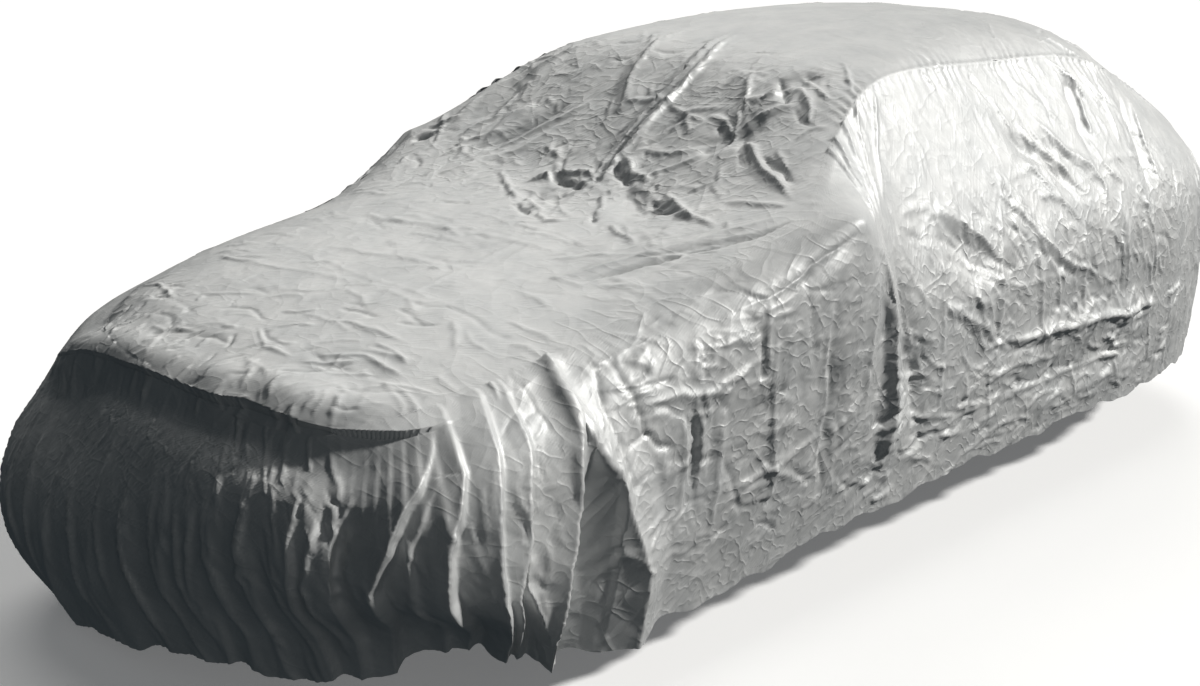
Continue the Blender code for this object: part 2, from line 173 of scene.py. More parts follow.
# Peaks that the cloth is drawn out to, one on each side: foot on the even wall, tip of the peak, and
# how quickly it falls off towards the front.
PEAK_REACH = 0.50
PEAK_SHARPNESS = 1.7
PEAK_HANG = 0.6  # the cloth hangs from the tip, so the peak reaches further down than up
PEAKS = (
    ((0.80, -0.86, 1.00), (0.975, -0.83, 1.155), 0.55),
    ((-0.80, -0.86, 1.00), (-0.915, -0.84, 1.11), 1.0),
)

# Gathers over the front elastic: round at the hem, round and height at the top, width, rise.
GATHER_FOOT = 0.02  # height they run down to, past the hem
GATHER_SHARE = 0.42  # of their rise; the creases of the front give the rest
GATHERS = (
    (-1.30, -1.22, 0.62, 0.16, 0.014),
    (-1.05, -1.00, 0.58, 0.15, 0.016),
    (-0.82, -0.76, 0.55, 0.14, 0.014),
    (-0.62, -0.54, 0.52, 0.15, 0.013),
    (-0.41, -0.34, 0.45, 0.16, 0.016),
    (-0.18, -0.14, 0.48, 0.15, 0.013),
    (0.06, 0.00, 0.58, 0.13, 0.016),
    (0.17, 0.13, 0.66, 0.09, 0.015),
    (0.27, 0.23, 0.70, 0.08, 0.018),
    (0.36, 0.33, 0.72, 0.08, 0.018),
    (0.46, 0.43, 0.73, 0.08, 0.020),
    (0.54, 0.52, 0.73, 0.07, 0.018),
)
# Pleats at the front corner: how wide they fall off on the right and on the left of the crest, rise,
# and round and height of the crest from its top to past the hem. A rise below 0 is a trough.
PLEATS = (
    (0.06, 0.020, 0.016, ((0.62, 0.72), (0.58, 0.60), (0.56, 0.40), (0.57, 0.05))),
    (0.06, 0.020, 0.018, ((0.76, 0.74), (0.70, 0.62), (0.66, 0.44), (0.64, 0.20), (0.63, 0.02))),
    (
        0.10, 0.024, 0.034,
        ((1.00, 0.84), (0.91, 0.71), (0.83, 0.59), (0.76, 0.48), (0.72, 0.26), (0.70, 0.02)),
    ),
    (0.05, 0.020, 0.016, ((0.99, 0.78), (0.94, 0.68), (0.87, 0.56), (0.84, 0.40), (0.82, 0.05))),
    (
        0.11, 0.028, 0.042,
        ((1.02, 0.88), (1.04, 0.74), (0.99, 0.60), (0.94, 0.46), (0.90, 0.26), (0.88, 0.02)),
    ),
    (
        0.12, 0.030, 0.048,
        ((1.17, 0.92), (1.13, 0.74), (1.10, 0.60), (1.08, 0.50), (1.03, 0.28), (1.02, 0.02)),
    ),
    (
        0.10, 0.028, 0.042,
        ((1.25, 0.92), (1.22, 0.74), (1.19, 0.58), (1.12, 0.44), (1.09, 0.28), (1.09, 0.02)),
    ),
    (
        0.12, 0.026, 0.046,
        ((1.40, 0.92), (1.37, 0.78), (1.34, 0.62), (1.29, 0.46), (1.25, 0.28), (1.24, 0.02)),
    ),
    (
        0.03, 0.160, -0.045,
        ((1.43, 0.84), (1.40, 0.72), (1.38, 0.60), (1.35, 0.46), (1.31, 0.26), (1.30, 0.02)),
    ),
    (
        0.14, 0.120, 0.060,
        ((1.36, 0.92), (1.41, 0.77), (1.45, 0.66), (1.49, 0.55), (1.53, 0.42), (1.55, 0.02)),
    ),
)
PLEAT_FADE = 0.35  # share of a pleat over which it comes in at its top
PLEAT_CREST = 1.4  # how pointed the crest is
PLEAT_SINK = 0.020  # the cloth between them hangs this much lower
PLEAT_SINK_ROUNDS = (0.62, 1.58)  # from the first to the last of them
PLEAT_SINK_RUN = 0.1
PLEAT_SINK_TOP = 0.80
PLEAT_SINK_DROP = 0.2
# Folds of the walls: round and height of both ends, width, rise; a rise below 0 is a trough.
SIDE_FOLDS = (
    (1.70, 0.86, 1.69, 0.42, 0.12, -0.018),
    (1.96, 0.98, 1.98, 0.36, 0.14, 0.016),
    (2.08, 1.00, 2.22, 0.34, 0.16, -0.022),
    (2.35, 1.12, 2.58, 0.28, 0.18, 0.034),
    (2.50, 0.98, 2.72, 0.34, 0.20, -0.036),
    (2.72, 1.04, 3.06, 0.84, 0.20, -0.034),
    (2.94, 0.94, 2.98, 0.62, 0.18, 0.020),
    (3.10, 1.02, 3.08, 0.60, 0.17, -0.020),
    (3.34, 1.04, 3.30, 0.64, 0.17, 0.018),
    (3.58, 0.98, 3.59, 0.64, 0.17, -0.020),
    (3.82, 1.04, 3.81, 0.64, 0.17, 0.018),
    (3.00, 0.65, 4.24, 0.58, 0.20, 0.034),
    (2.80, 0.50, 4.20, 0.44, 0.17, -0.022),
    (3.00, 0.38, 4.30, 0.36, 0.17, 0.016),
    (3.24, 1.30, 3.64, 1.00, 0.20, -0.030),
    (3.80, 1.38, 3.74, 1.10, 0.18, -0.026),
    (4.16, 1.32, 4.04, 0.94, 0.18, -0.028),
    (4.60, 0.98, 4.58, 0.34, 0.18, -0.028),
)
# Folds of the top: x and y of both ends, width, rise.
TOP_FOLDS = (
    (-0.02, -0.15, 0.17, -0.98, 0.17, 0.028),
    (-0.30, -0.20, 0.00, -0.76, 0.16, 0.018),
    (-0.50, -1.14, -0.16, -0.68, 0.19, 0.022),
    (-0.06, -1.10, 0.12, -0.98, 0.22, -0.042),
    (0.22, -0.92, 0.46, -1.04, 0.22, -0.044),
    (0.02, -0.88, 0.22, -0.84, 0.18, 0.022),
    (0.28, -0.74, 0.48, -0.60, 0.22, -0.044),
    (0.44, -0.52, 0.50, -0.38, 0.18, -0.034),
    (0.36, -0.56, 0.20, -0.44, 0.17, 0.020),
    (-0.62, -0.86, -0.58, -0.54, 0.22, -0.034),
    (-0.48, -0.92, -0.42, -0.66, 0.18, 0.022),
    (0.62, -1.02, 0.36, -1.34, 0.18, 0.020),
    (0.20, -2.08, 0.60, -1.92, 0.18, -0.014),
    (-0.40, -1.90, 0.10, -1.80, 0.18, 0.008),
    (-0.30, -1.50, 0.30, -1.40, 0.20, -0.007),
    (0.36, 1.04, 0.50, 1.10, 0.18, -0.024),
    (0.30, 1.30, 0.44, 1.60, 0.20, -0.016),
    (-0.34, 1.24, -0.46, 1.56, 0.20, -0.018),
    (-0.10, 1.20, 0.05, 1.70, 0.22, -0.014),
)
FOLD_FADE = 0.35  # share of a fold over which an end fades out
FOLD_SHARPNESS = 0.6  # 0 is a round crest and 1 a sharp one
FOLD_WANDER = 0.010  # how far the folds stray from their own lines, and the creases from theirs
CREASE_WANDER = 0.003
SIDE_FOLD_SHARE = 0.50  # of the main folds' rise; the creases below give the rest
TOP_FOLD_SHARE = 0.38
LEVEL_PRESS_HEIGHT = 0.60  # below this the folds of a wall press sideways and not down

# Smoothing of the bare shape before it is folded: the front and rear edges of the top, the seams.
EDGE_SMOOTHING = 30  # rounds
EDGE_REACH = 12  # grid steps from an edge over which it fades out
SEAM_REACH = 12

# Creases of the front, ridges where rise is above 0: width, rise, places from top to hem.
WALL_CREASES = (
    (0.080, 0.016, ((1.22, 0.55), (1.17, 0.47), (1.19, 0.38), (1.24, 0.26))),
    (0.080, 0.014, ((1.43, 0.98), (1.38, 0.84), (1.39, 0.77), (1.47, 0.64))),
    (0.040, -0.008, ((1.52, 0.92), (1.54, 0.82), (1.55, 0.74), (1.58, 0.70), (1.67, 0.68))),
    (0.040, -0.008, ((1.50, 0.93), (1.46, 0.82), (1.48, 0.71), (1.51, 0.56))),
    (0.050, 0.014, ((0.66, 0.66), (0.60, 0.46), (0.62, 0.22))),
    (0.080, -0.012, ((0.74, 0.66), (0.68, 0.50), (0.68, 0.26))),
    (0.050, 0.012, ((0.44, 0.64), (0.42, 0.44), (0.47, 0.20))),
    (0.050, 0.010, ((0.30, 0.66), (0.31, 0.50), (0.36, 0.24))),
    (0.060, 0.012, ((0.20, 0.60), (0.20, 0.38), (0.26, 0.16))),
    (0.050, 0.009, ((0.08, 0.66), (0.10, 0.48), (0.16, 0.22))),
    (0.060, 0.012, ((-0.02, 0.58), (0.02, 0.34), (0.06, 0.10))),
    (0.050, 0.009, ((-0.16, 0.66), (-0.12, 0.46), (-0.08, 0.20))),
    (0.060, 0.012, ((-0.28, 0.60), (-0.22, 0.32), (-0.20, 0.08))),
    (0.050, 0.009, ((-0.40, 0.66), (-0.36, 0.46), (-0.34, 0.20))),
    (0.060, 0.012, ((-0.52, 0.62), (-0.46, 0.34), (-0.44, 0.06))),
    (0.050, 0.009, ((-0.64, 0.66), (-0.58, 0.46), (-0.54, 0.20))),
    (0.060, 0.012, ((-0.74, 0.62), (-0.66, 0.34), (-0.64, 0.06))),
    (0.060, 0.012, ((-0.98, 0.64), (-0.90, 0.34), (-0.88, 0.06))),
)
# Creases of the left side, mirrored to the right one: width, rise, places.
SIDE_CREASES = (
    (0.045, 0.006, ((1.71, 0.94), (1.71, 0.90), (1.69, 0.82))),
    (0.040, -0.005, ((1.74, 0.94), (1.72, 0.88), (1.72, 0.81))),
    (0.035, 0.005, ((1.77, 0.94), (1.74, 0.84))),
    (0.035, 0.005, ((1.80, 0.94), (1.76, 0.83))),
    (0.050, 0.007, ((1.57, 0.80), (1.67, 0.81), (1.77, 0.80), (1.82, 0.79))),
    (0.040, 0.006, ((1.74, 0.82), (1.85, 0.84))),
    (0.050, 0.009, ((1.655, 0.78), (1.665, 0.66), (1.66, 0.50))),
    (0.060, -0.008, ((1.69, 0.77), (1.695, 0.66), (1.69, 0.54))),
    (0.030, 0.008, ((1.72, 0.78), (1.72, 0.66), (1.71, 0.54))),
    (0.050, -0.006, ((1.745, 0.77), (1.75, 0.66), (1.74, 0.54))),
    (0.040, 0.008, ((1.775, 0.78), (1.78, 0.66), (1.77, 0.50), (1.78, 0.40))),
    (0.040, -0.004, ((1.78, 0.64), (1.84, 0.51), (1.89, 0.42))),
    (0.045, -0.007, ((1.885, 0.94), (1.885, 0.85), (1.88, 0.77))),
    (0.040, 0.007, ((1.92, 1.02), (1.90, 0.93), (1.905, 0.80))),
    (0.038, 0.007, ((1.93, 0.97), (1.92, 0.85), (1.93, 0.74), (1.96, 0.59), (1.99, 0.41))),
    (0.045, -0.005, ((2.01, 1.06), (2.01, 1.00), (2.03, 0.90), (2.08, 0.77))),
    (0.050, 0.008, ((2.09, 1.00), (2.09, 0.88), (2.13, 0.70), (2.16, 0.46))),
    (0.060, -0.007, ((2.12, 0.84), (2.16, 0.68), (2.18, 0.54))),
    (0.040, 0.007, ((1.79, 0.52), (1.99, 0.56), (2.17, 0.61))),
    (0.040, 0.007, ((1.91, 0.585), (2.01, 0.52), (2.15, 0.455))),
    (0.035, 0.005, ((1.82, 0.49), (1.97, 0.53))),
    (0.045, 0.007, ((2.18, 0.57), (2.23, 0.62), (2.30, 0.65))),
    (0.045, -0.005, ((2.26, 0.45), (2.36, 0.37), (2.50, 0.40))),
    (0.120, 0.024, ((2.31, 1.13), (2.36, 0.97), (2.41, 0.82), (2.48, 0.60), (2.52, 0.32))),
    (0.200, -0.013, ((2.46, 1.06), (2.54, 0.88), (2.63, 0.66), (2.66, 0.46))),
    (0.080, 0.010, ((2.28, 1.06), (2.29, 0.86), (2.34, 0.62))),
    (0.044, -0.010, ((2.18, 1.14), (2.07, 1.08), (1.94, 1.01), (1.83, 0.98))),
    (0.180, 0.006, ((2.18, 1.10), (2.07, 1.03), (1.94, 0.96), (1.84, 0.93))),
    (0.034, 0.010, ((2.40, 1.36), (2.38, 1.24), (2.35, 1.10))),
    (0.034, 0.011, ((2.46, 1.39), (2.42, 1.26), (2.38, 1.10))),
    (0.034, 0.010, ((2.53, 1.41), (2.48, 1.27), (2.42, 1.10))),
    (0.034, 0.009, ((2.61, 1.42), (2.54, 1.28), (2.46, 1.11))),
    (0.040, 0.008, ((2.71, 1.42), (2.62, 1.28), (2.51, 1.12))),
    (0.040, 0.006, ((2.60, 1.09), (2.70, 1.10), (2.80, 1.08))),
    (0.060, -0.005, ((2.78, 1.06), (2.89, 0.98), (3.05, 0.90))),
    (0.060, 0.009, ((2.79, 1.10), (2.91, 1.02), (3.06, 0.93))),
    (0.040, 0.006, ((2.77, 1.05), (2.75, 0.82), (2.75, 0.65), (2.77, 0.45))),
    (0.035, 0.005, ((2.95, 1.04), (2.91, 0.92), (2.87, 0.78))),
    (0.045, 0.008, ((3.13, 1.08), (3.08, 0.96), (3.05, 0.85), (3.06, 0.64))),
    (0.050, -0.005, ((3.10, 1.02), (3.02, 0.84), (3.03, 0.66))),
    (0.050, 0.008, ((2.76, 0.84), (2.92, 0.74), (3.06, 0.65))),
    (0.060, -0.004, ((2.80, 0.78), (2.94, 0.68))),
    (0.050, 0.013, ((3.02, 0.65), (3.27, 0.635), (3.60, 0.62), (3.86, 0.595), (4.20, 0.58))),
    (0.070, -0.007, ((3.06, 0.605), (3.27, 0.595), (3.58, 0.58))),
    (0.040, 0.007, ((2.90, 0.60), (3.06, 0.55), (3.27, 0.55), (3.50, 0.52))),
    (0.040, 0.006, ((2.46, 0.67), (2.60, 0.64), (2.72, 0.63))),
    (0.040, 0.006, ((2.46, 0.63), (2.58, 0.62), (2.70, 0.65))),
    (0.040, 0.006, ((2.51, 0.55), (2.70, 0.50), (2.90, 0.46))),
    (0.040, 0.006, ((3.00, 0.55), (3.25, 0.45), (3.60, 0.46), (3.90, 0.44))),
    (0.035, 0.005, ((2.89, 0.60), (2.91, 0.43))),
    (0.035, 0.005, ((3.01, 0.57), (3.07, 0.38))),
    (0.035, 0.005, ((3.52, 0.52), (3.61, 0.33))),
    (0.035, 0.005, ((3.78, 0.58), (3.88, 0.35))),
    (0.035, 0.006, ((4.07, 0.55), (4.14, 0.34))),
    (0.045, 0.007, ((3.24, 0.96), (3.27, 0.80), (3.28, 0.73), (3.30, 0.62))),
    (0.045, 0.008, ((3.56, 0.96), (3.53, 0.81), (3.57, 0.66))),
    (0.045, -0.006, ((3.81, 0.98), (3.77, 0.83), (3.82, 0.62))),
    (0.035, 0.007, ((3.85, 0.98), (3.81, 0.83), (3.86, 0.62))),
    (0.040, 0.006, ((4.06, 1.01), (4.02, 0.88), (4.07, 0.74), (4.09, 0.56))),
    (0.035, 0.005, ((3.98, 0.80), (3.88, 0.61))),
    (0.060, 0.011, ((3.23, 1.00), (3.31, 0.915), (3.41, 0.85), (3.54, 0.79))),
    (0.055, -0.007, ((3.20, 0.94), (3.30, 0.88), (3.42, 0.815), (3.53, 0.76))),
    (0.050, 0.008, ((3.31, 1.06), (3.45, 1.03), (3.54, 0.96))),
    (0.055, -0.006, ((3.28, 1.25), (3.40, 1.16), (3.51, 1.09), (3.57, 1.00))),
    (0.055, 0.010, ((3.33, 1.27), (3.43, 1.19), (3.54, 1.12), (3.60, 1.04))),
    (0.060, 0.011, ((3.46, 1.28), (3.58, 1.16), (3.70, 1.10), (3.74, 1.03), (3.69, 0.94))),
    (0.050, -0.006, ((3.50, 1.20), (3.60, 1.11), (3.69, 1.05), (3.70, 0.98))),
    (0.040, 0.006, ((3.46, 1.39), (3.53, 1.32), (3.65, 1.22))),
    (0.060, -0.008, ((3.76, 1.40), (3.78, 1.33), (3.75, 1.22), (3.74, 1.14))),
    (0.045, 0.009, ((3.82, 1.40), (3.83, 1.30), (3.79, 1.16))),
    (0.050, 0.009, ((3.92, 1.38), (3.98, 1.27), (3.96, 1.12))),
    (0.050, -0.007, ((4.18, 1.30), (4.11, 1.18), (4.06, 1.00))),
    (0.045, 0.009, ((4.24, 1.28), (4.17, 1.16), (4.12, 0.98))),
    (0.050, 0.006, ((2.42, 0.98), (2.49, 0.88), (2.58, 0.77), (2.71, 0.66))),
    (0.045, 0.005, ((2.54, 1.00), (2.62, 0.90), (2.72, 0.80))),
    (0.040, 0.006, ((2.70, 1.02), (2.72, 0.92), (2.70, 0.80))),
)
# Creases of the top: width, rise, places.
TOP_CREASES = (
    (0.048, 0.018, ((0.16, -1.01), (0.11, -0.84), (0.10, -0.66), (0.085, -0.45), (0.0, -0.20))),
    (0.044, 0.015, ((0.12, -0.98), (0.07, -0.84), (0.06, -0.66), (0.05, -0.45), (-0.03, -0.20))),
    (0.036, 0.012, ((-0.05, -0.68), (-0.13, -0.54), (-0.19, -0.38), (-0.21, -0.22))),
    (0.035, 0.007, ((-0.13, -0.55), (-0.06, -0.63), (0.06, -0.61), (0.20, -0.64), (0.32, -0.66))),
    (0.030, 0.006, ((0.17, -0.63), (0.30, -0.60))),
    (0.030, 0.007, ((0.19, -0.63), (0.26, -0.71))),
    (0.032, 0.007, ((0.11, -0.79), (0.22, -0.78), (0.34, -0.74))),
    (0.030, 0.007, ((0.22, -0.89), (0.30, -0.82), (0.37, -0.75))),
    (0.060, -0.012, ((0.41, -0.67), (0.37, -0.73), (0.33, -0.74))),
    (0.045, 0.014, ((0.39, -0.68), (0.43, -0.60), (0.52, -0.54))),
    (0.050, -0.012, ((0.42, -0.66), (0.55, -0.78))),
    (0.045, 0.014, ((0.40, -0.66), (0.52, -0.72), (0.66, -0.80), (0.78, -0.86))),
    (0.040, -0.012, ((0.54, -0.72), (0.66, -0.77), (0.74, -0.81))),
    (0.045, 0.010, ((0.40, -0.67), (0.33, -0.64), (0.27, -0.63))),
    (0.040, 0.011, ((0.28, -0.46), (0.33, -0.53), (0.39, -0.61))),
    (0.065, -0.016, ((0.38, -0.46), (0.44, -0.50), (0.49, -0.56))),
    (0.045, 0.012, ((0.34, -0.57), (0.41, -0.53), (0.45, -0.47))),
    (0.045, 0.010, ((0.44, -0.46), (0.54, -0.52), (0.62, -0.60))),
    (0.040, 0.009, ((0.46, -0.29), (0.54, -0.35), (0.62, -0.44))),
    (0.035, 0.008, ((0.43, -0.43), (0.52, -0.46), (0.60, -0.50))),
    (0.070, -0.016, ((-0.05, -0.96), (0.04, -0.96), (0.12, -0.97))),
    (0.045, 0.014, ((-0.12, -1.02), (-0.03, -0.92), (0.06, -0.90), (0.12, -0.93))),
    (0.055, -0.015, ((0.10, -0.85), (0.17, -0.89), (0.25, -0.91))),
    (0.045, 0.012, ((0.12, -0.82), (0.20, -0.86), (0.30, -0.88))),
    (0.065, -0.017, ((0.34, -0.93), (0.42, -0.98), (0.50, -0.99))),
    (0.045, 0.014, ((0.35, -0.90), (0.46, -0.95), (0.60, -1.03))),
    (0.040, 0.010, ((0.46, -0.99), (0.56, -1.00), (0.67, -1.01))),
    (0.045, -0.014, ((-0.02, -1.12), (0.04, -1.15), (0.10, -1.16))),
    (0.040, 0.010, ((-0.03, -1.07), (0.05, -1.11), (0.12, -1.13))),
    (0.040, -0.014, ((0.25, -1.07), (0.31, -1.12))),
    (0.036, 0.009, ((0.10, -1.13), (0.18, -1.18), (0.23, -1.13))),
    (0.036, 0.009, ((0.34, -1.10), (0.44, -1.14), (0.55, -1.19))),
    (0.036, 0.008, ((-0.28, -0.96), (-0.12, -1.05), (0.02, -1.12))),
    (0.040, 0.009, ((0.20, -0.98), (0.26, -1.04), (0.27, -1.12))),
    (0.110, -0.014, ((-0.46, -0.92), (-0.36, -0.78), (-0.26, -0.66))),
    (0.050, 0.010, ((-0.40, -0.92), (-0.30, -0.78), (-0.19, -0.64))),
    (0.060, -0.020, ((-0.78, -0.92), (-0.70, -0.90))),
    (0.050, 0.012, ((-0.76, -0.86), (-0.68, -0.80), (-0.70, -0.68))),
    (0.060, -0.018, ((-0.68, -0.62), (-0.63, -0.46))),
    (0.040, 0.010, ((-0.62, -0.66), (-0.56, -0.52), (-0.50, -0.40))),
    (0.040, 0.009, ((-0.60, -0.88), (-0.54, -0.76), (-0.56, -0.64))),
    (0.042, -0.011, ((0.88, -0.91), (0.76, -1.08), (0.70, -1.15), (0.63, -1.26), (0.54, -1.42))),
    (0.110, 0.009, ((0.84, -0.89), (0.71, -1.05), (0.64, -1.15), (0.56, -1.28), (0.46, -1.46))),
    (0.050, 0.007, ((0.80, -0.88), (0.70, -0.90), (0.58, -0.91))),
    (0.040, -0.006, ((0.80, -1.02), (0.72, -1.10), (0.60, -1.24))),
    (0.040, 0.005, ((0.30, -1.99), (0.41, -1.93), (0.57, -1.92))),
    (0.040, 0.005, ((0.17, -1.89), (0.26, -1.85), (0.45, -1.84))),
    (0.035, 0.004, ((0.45, -1.70), (0.56, -1.78))),
    (0.040, 0.006, ((0.49, -2.04), (0.53, -2.10))),
    (0.050, 0.004, ((-0.30, -1.62), (0.02, -1.55), (0.30, -1.50))),
    (0.050, 0.004, ((-0.46, -1.42), (-0.10, -1.36), (0.28, -1.30), (0.50, -1.30))),
    (0.045, 0.003, ((-0.50, -1.80), (-0.20, -1.76), (0.10, -1.70))),
    (0.040, 0.007, ((0.46, 0.82), (0.52, 0.90), (0.55, 0.99))),
    (0.050, -0.009, ((0.34, 1.02), (0.44, 1.04), (0.52, 1.14))),
    (0.045, 0.008, ((0.30, 1.06), (0.40, 1.10), (0.48, 1.22))),
    (0.045, 0.006, ((-0.34, 1.04), (-0.44, 1.12), (-0.50, 1.26))),
    (0.050, 0.006, ((0.10, 1.12), (0.16, 1.34), (0.12, 1.60))),
    (0.050, 0.006, ((-0.20, 1.18), (-0.16, 1.42), (-0.22, 1.70))),
)
# Small creases strewn over a zone. On the wall: 1, and there on the left side only or mirrored.
# Lowest and highest round or x, lowest and highest height or y, count, length, width, rise,
# direction in degrees from the round or x axis, spread in degrees.
STREWN = (
    (1, 1.50, 2.25, 0.80, 1.02, 60, 0.10, 0.028, 0.0030, 10, 30),
    (1, 1.50, 2.60, 0.36, 0.82, 120, 0.11, 0.030, 0.0040, 10, 40),
    (1, 2.50, 4.20, 0.62, 1.10, 150, 0.12, 0.034, 0.0045, -50, 35),
    (1, 2.40, 4.30, 0.28, 0.62, 190, 0.11, 0.032, 0.0055, 5, 30),
    (1, 3.00, 4.20, 1.05, 1.42, 60, 0.13, 0.034, 0.0045, -60, 25),
    (1, 2.30, 3.00, 1.00, 1.38, 24, 0.12, 0.032, 0.0020, -80, 20),
    (1, 1.20, 1.80, 0.62, 0.90, 50, 0.08, 0.028, 0.0028, 50, 60),
    (1, 0.60, 1.35, 0.20, 0.70, 70, 0.10, 0.030, 0.0032, 85, 25),
    (1, 4.20, 4.90, 0.30, 1.00, 70, 0.13, 0.034, 0.0045, 85, 30),
    (0, -0.60, 0.66, -1.16, -0.30, 110, 0.09, 0.028, 0.0035, -60, 80),
    (0, -0.70, 0.70, -1.05, -0.82, 50, 0.08, 0.028, 0.0045, -20, 60),
    (0, -0.72, 0.72, -2.12, -1.10, 130, 0.16, 0.030, 0.0030, 12, 25),
    (0, -0.60, 0.62, -2.18, -1.95, 70, 0.06, 0.030, 0.0022, 60, 70),
    (0, -0.56, 0.60, -2.20, -2.06, 50, 0.08, 0.028, 0.0036, 90, 45),
    (1, 0.00, 0.70, 0.62, 0.80, 50, 0.09, 0.028, 0.0036, 88, 35),
    (0, -0.52, 0.55, -0.20, 0.90, 80, 0.16, 0.034, 0.0026, 20, 60),
    (0, -0.52, 0.54, 0.85, 1.85, 90, 0.15, 0.034, 0.0040, 80, 40),
)
# Star crumples: on the wall 1 or on the top 0, place, reach, arms, rise.
STARS = (
    (0, 0.40, -0.67, 0.11, 7, 0.006),
    (0, 0.08, -0.94, 0.08, 6, 0.005),
    (0, 0.38, -0.96, 0.09, 6, 0.005),
    (0, -0.70, -0.86, 0.10, 6, 0.006),
    (0, -0.64, -0.52, 0.09, 6, 0.005),
    (1, 1.72, 0.80, 0.06, 7, 0.005),
    (1, 1.88, 0.80, 0.05, 6, 0.004),
    (1, 2.78, 1.07, 0.06, 6, 0.004),
    (1, 3.06, 0.65, 0.07, 7, 0.005),
    (1, 3.30, 0.63, 0.06, 6, 0.004),
    (1, 3.58, 0.64, 0.07, 7, 0.005),
    (1, 3.86, 0.60, 0.06, 7, 0.005),
    (1, 2.76, 0.64, 0.06, 6, 0.004),
    (1, 3.14, 1.07, 0.05, 6, 0.004),
)
# Lines left by the way the cloth was packed: on the wall 1 or on the top 0, places, rise.
PACK_LINES = (
    (1, ((2.52, 0.82), (2.90, 0.80), (3.30, 0.81), (3.80, 0.80), (4.30, 0.79)), 0.003),
    (1, ((1.46, 0.62), (1.80, 0.655), (2.14, 0.66)), 0.003),
    (1, ((2.56, 0.44), (3.00, 0.46), (3.50, 0.45), (4.20, 0.45)), 0.003),
    (1, ((2.95, 1.10), (3.40, 1.13), (3.90, 1.10), (4.30, 1.08)), 0.003),
    (0, ((-0.60, -1.28), (-0.10, -1.30), (0.60, -1.27)), 0.0015),
    (0, ((-0.60, -1.66), (0.00, -1.68), (0.62, -1.65)), 0.0015),
    (0, ((-0.25, -2.05), (-0.24, -1.60), (-0.26, -1.15)), 0.0015),
    (0, ((0.24, -2.05), (0.25, -1.60), (0.22, -1.15)), 0.0015),
    (0, ((-0.55, -0.02), (0.00, 0.00), (0.55, -0.02)), 0.0015),
    (0, ((-0.55, 0.46), (0.00, 0.48), (0.55, 0.45)), 0.0015),
    (0, ((-0.18, -0.20), (-0.17, 0.40), (-0.19, 1.00)), 0.0015),
    (0, ((0.20, -0.20), (0.19, 0.40), (0.21, 1.00)), 0.0015),
)
PACK_LINE_WIDTH = 0.030
CREASE_FADE = 0.25  # share of a crease over which each end fades out
CREASE_WOBBLE = 0.0015  # fine shake of a crease's line
STAR_WIDTH = 0.032
STAR_PLACES = (-0.2, 0.5, 1.0)  # of an arm's crease, as shares of its reach
STAR_TROUGH = -0.6  # every third arm is a trough, this deep for the others' rise
CREASE_SEED = 11
FAR_OFF = 9.0  # further than any point is from a line

# Small gathers over the back elastic.
BACK_GATHER_START = 4.75  # round where they begin
BACK_GATHER_RUN = 0.2  # and over which they come in
BACK_GATHER_TOP = 0.75
BACK_GATHER_DROP = 0.5  # height over which they come in below their top
BACK_GATHER_SPACING = 0.133
BACK_GATHER_RISE = 0.012

# The seam along each side of the top: a sewn rib with the cloth puckered beside it.
SEAM_START = 2.30  # round behind which it comes in, and over how much
SEAM_START_RUN = 0.25
SEAM_ELSEWHERE = 0.08  # share of it that shows in front of that
RIB_RISE = 0.0050
RIB_HALF_WIDTH = 0.010
PUCKER_PITCH = 0.040  # length of a pucker along the seam
PUCKER_SHIFTS = ((1.3, 0.31), (0.9, 0.13))  # how uneven that is: radians, and over what length
PUCKER_UNEVENNESS = 0.45
PUCKER_UNEVEN_LENGTH = 0.47
PUCKER_RISE = 0.0045
PUCKER_REACH = 0.045  # away from the seam
PUCKER_CLEAR = 0.012  # of the rib
STITCH_FROM_SEAM = 0.006
STITCH_LENGTH = 0.004
STITCH_HALF_WIDTH = 0.0008
STITCH_SHARE = 0.7  # thread on top, of a stitch's length

# The front edge of the top breaks sharply over to the wall below: x, y and height along it.
FRONT_EDGE = (
    (-0.70, -2.17, 0.66),
    (-0.58, -2.20, 0.70),
    (-0.46, -2.19, 0.74),
    (-0.33, -2.17, 0.765),
    (-0.20, -2.165, 0.778),
    (-0.09, -2.16, 0.785),
    (0.06, -2.145, 0.79),
    (0.16, -2.135, 0.795),
    (0.25, -2.11, 0.805),
    (0.33, -2.095, 0.805),
    (0.42, -2.085, 0.80),
    (0.50, -2.065, 0.795),
    (0.57, -2.01, 0.80),
    (0.63, -1.94, 0.81),
    (0.68, -1.85, 0.83),
)
FRONT_EDGE_STEPS = 52  # into which its line is cut
FRONT_EDGE_RISE = 0.020
FRONT_EDGE_UNEVENNESS = 0.20
FRONT_EDGE_HALF_WIDTH = 0.060
FRONT_EDGE_ENDS = 6.0  # it comes in over one part in so many at each end
FRONT_EDGE_BEHIND = 0.2  # how far behind and below its line the points are that it can move
FRONT_EDGE_BELOW = 0.6
# How far the cloth falls in below the edge, how far down that is most, and how far it goes on.
FRONT_DIP = 0.056
FRONT_DIP_PLACE = 0.14
FRONT_DIP_RUN = 0.52
# The hem: turned in, with its own line of stitches.
HEM_TURN = 0.022
HEM_THICKNESS = 0.004

# How uneven the hem is: waves in radians for each metre, size, start.
HEM_WAVES = (
    (9.0, 0.010, 0.0),
    (23.0, 0.007, 1.0),
    (41.0, 0.005, 2.0),
)
HEM_WAVE_TOP = 0.45  # height below which the waves show, and over how much they come in
HEM_WAVE_DROP = 0.25

# Steps of the cloth's grid: along the sides, across the top, and down the walls.
ALONG = 640
ACROSS = 200
DOWN = 152
DOWN_SHARES = (0.38, 0.32, 0.30)  # of the steps down, between each ring and the next
TOP_SPLIT = 460  # row at which the top panel's mesh is parted, on the middle of its length

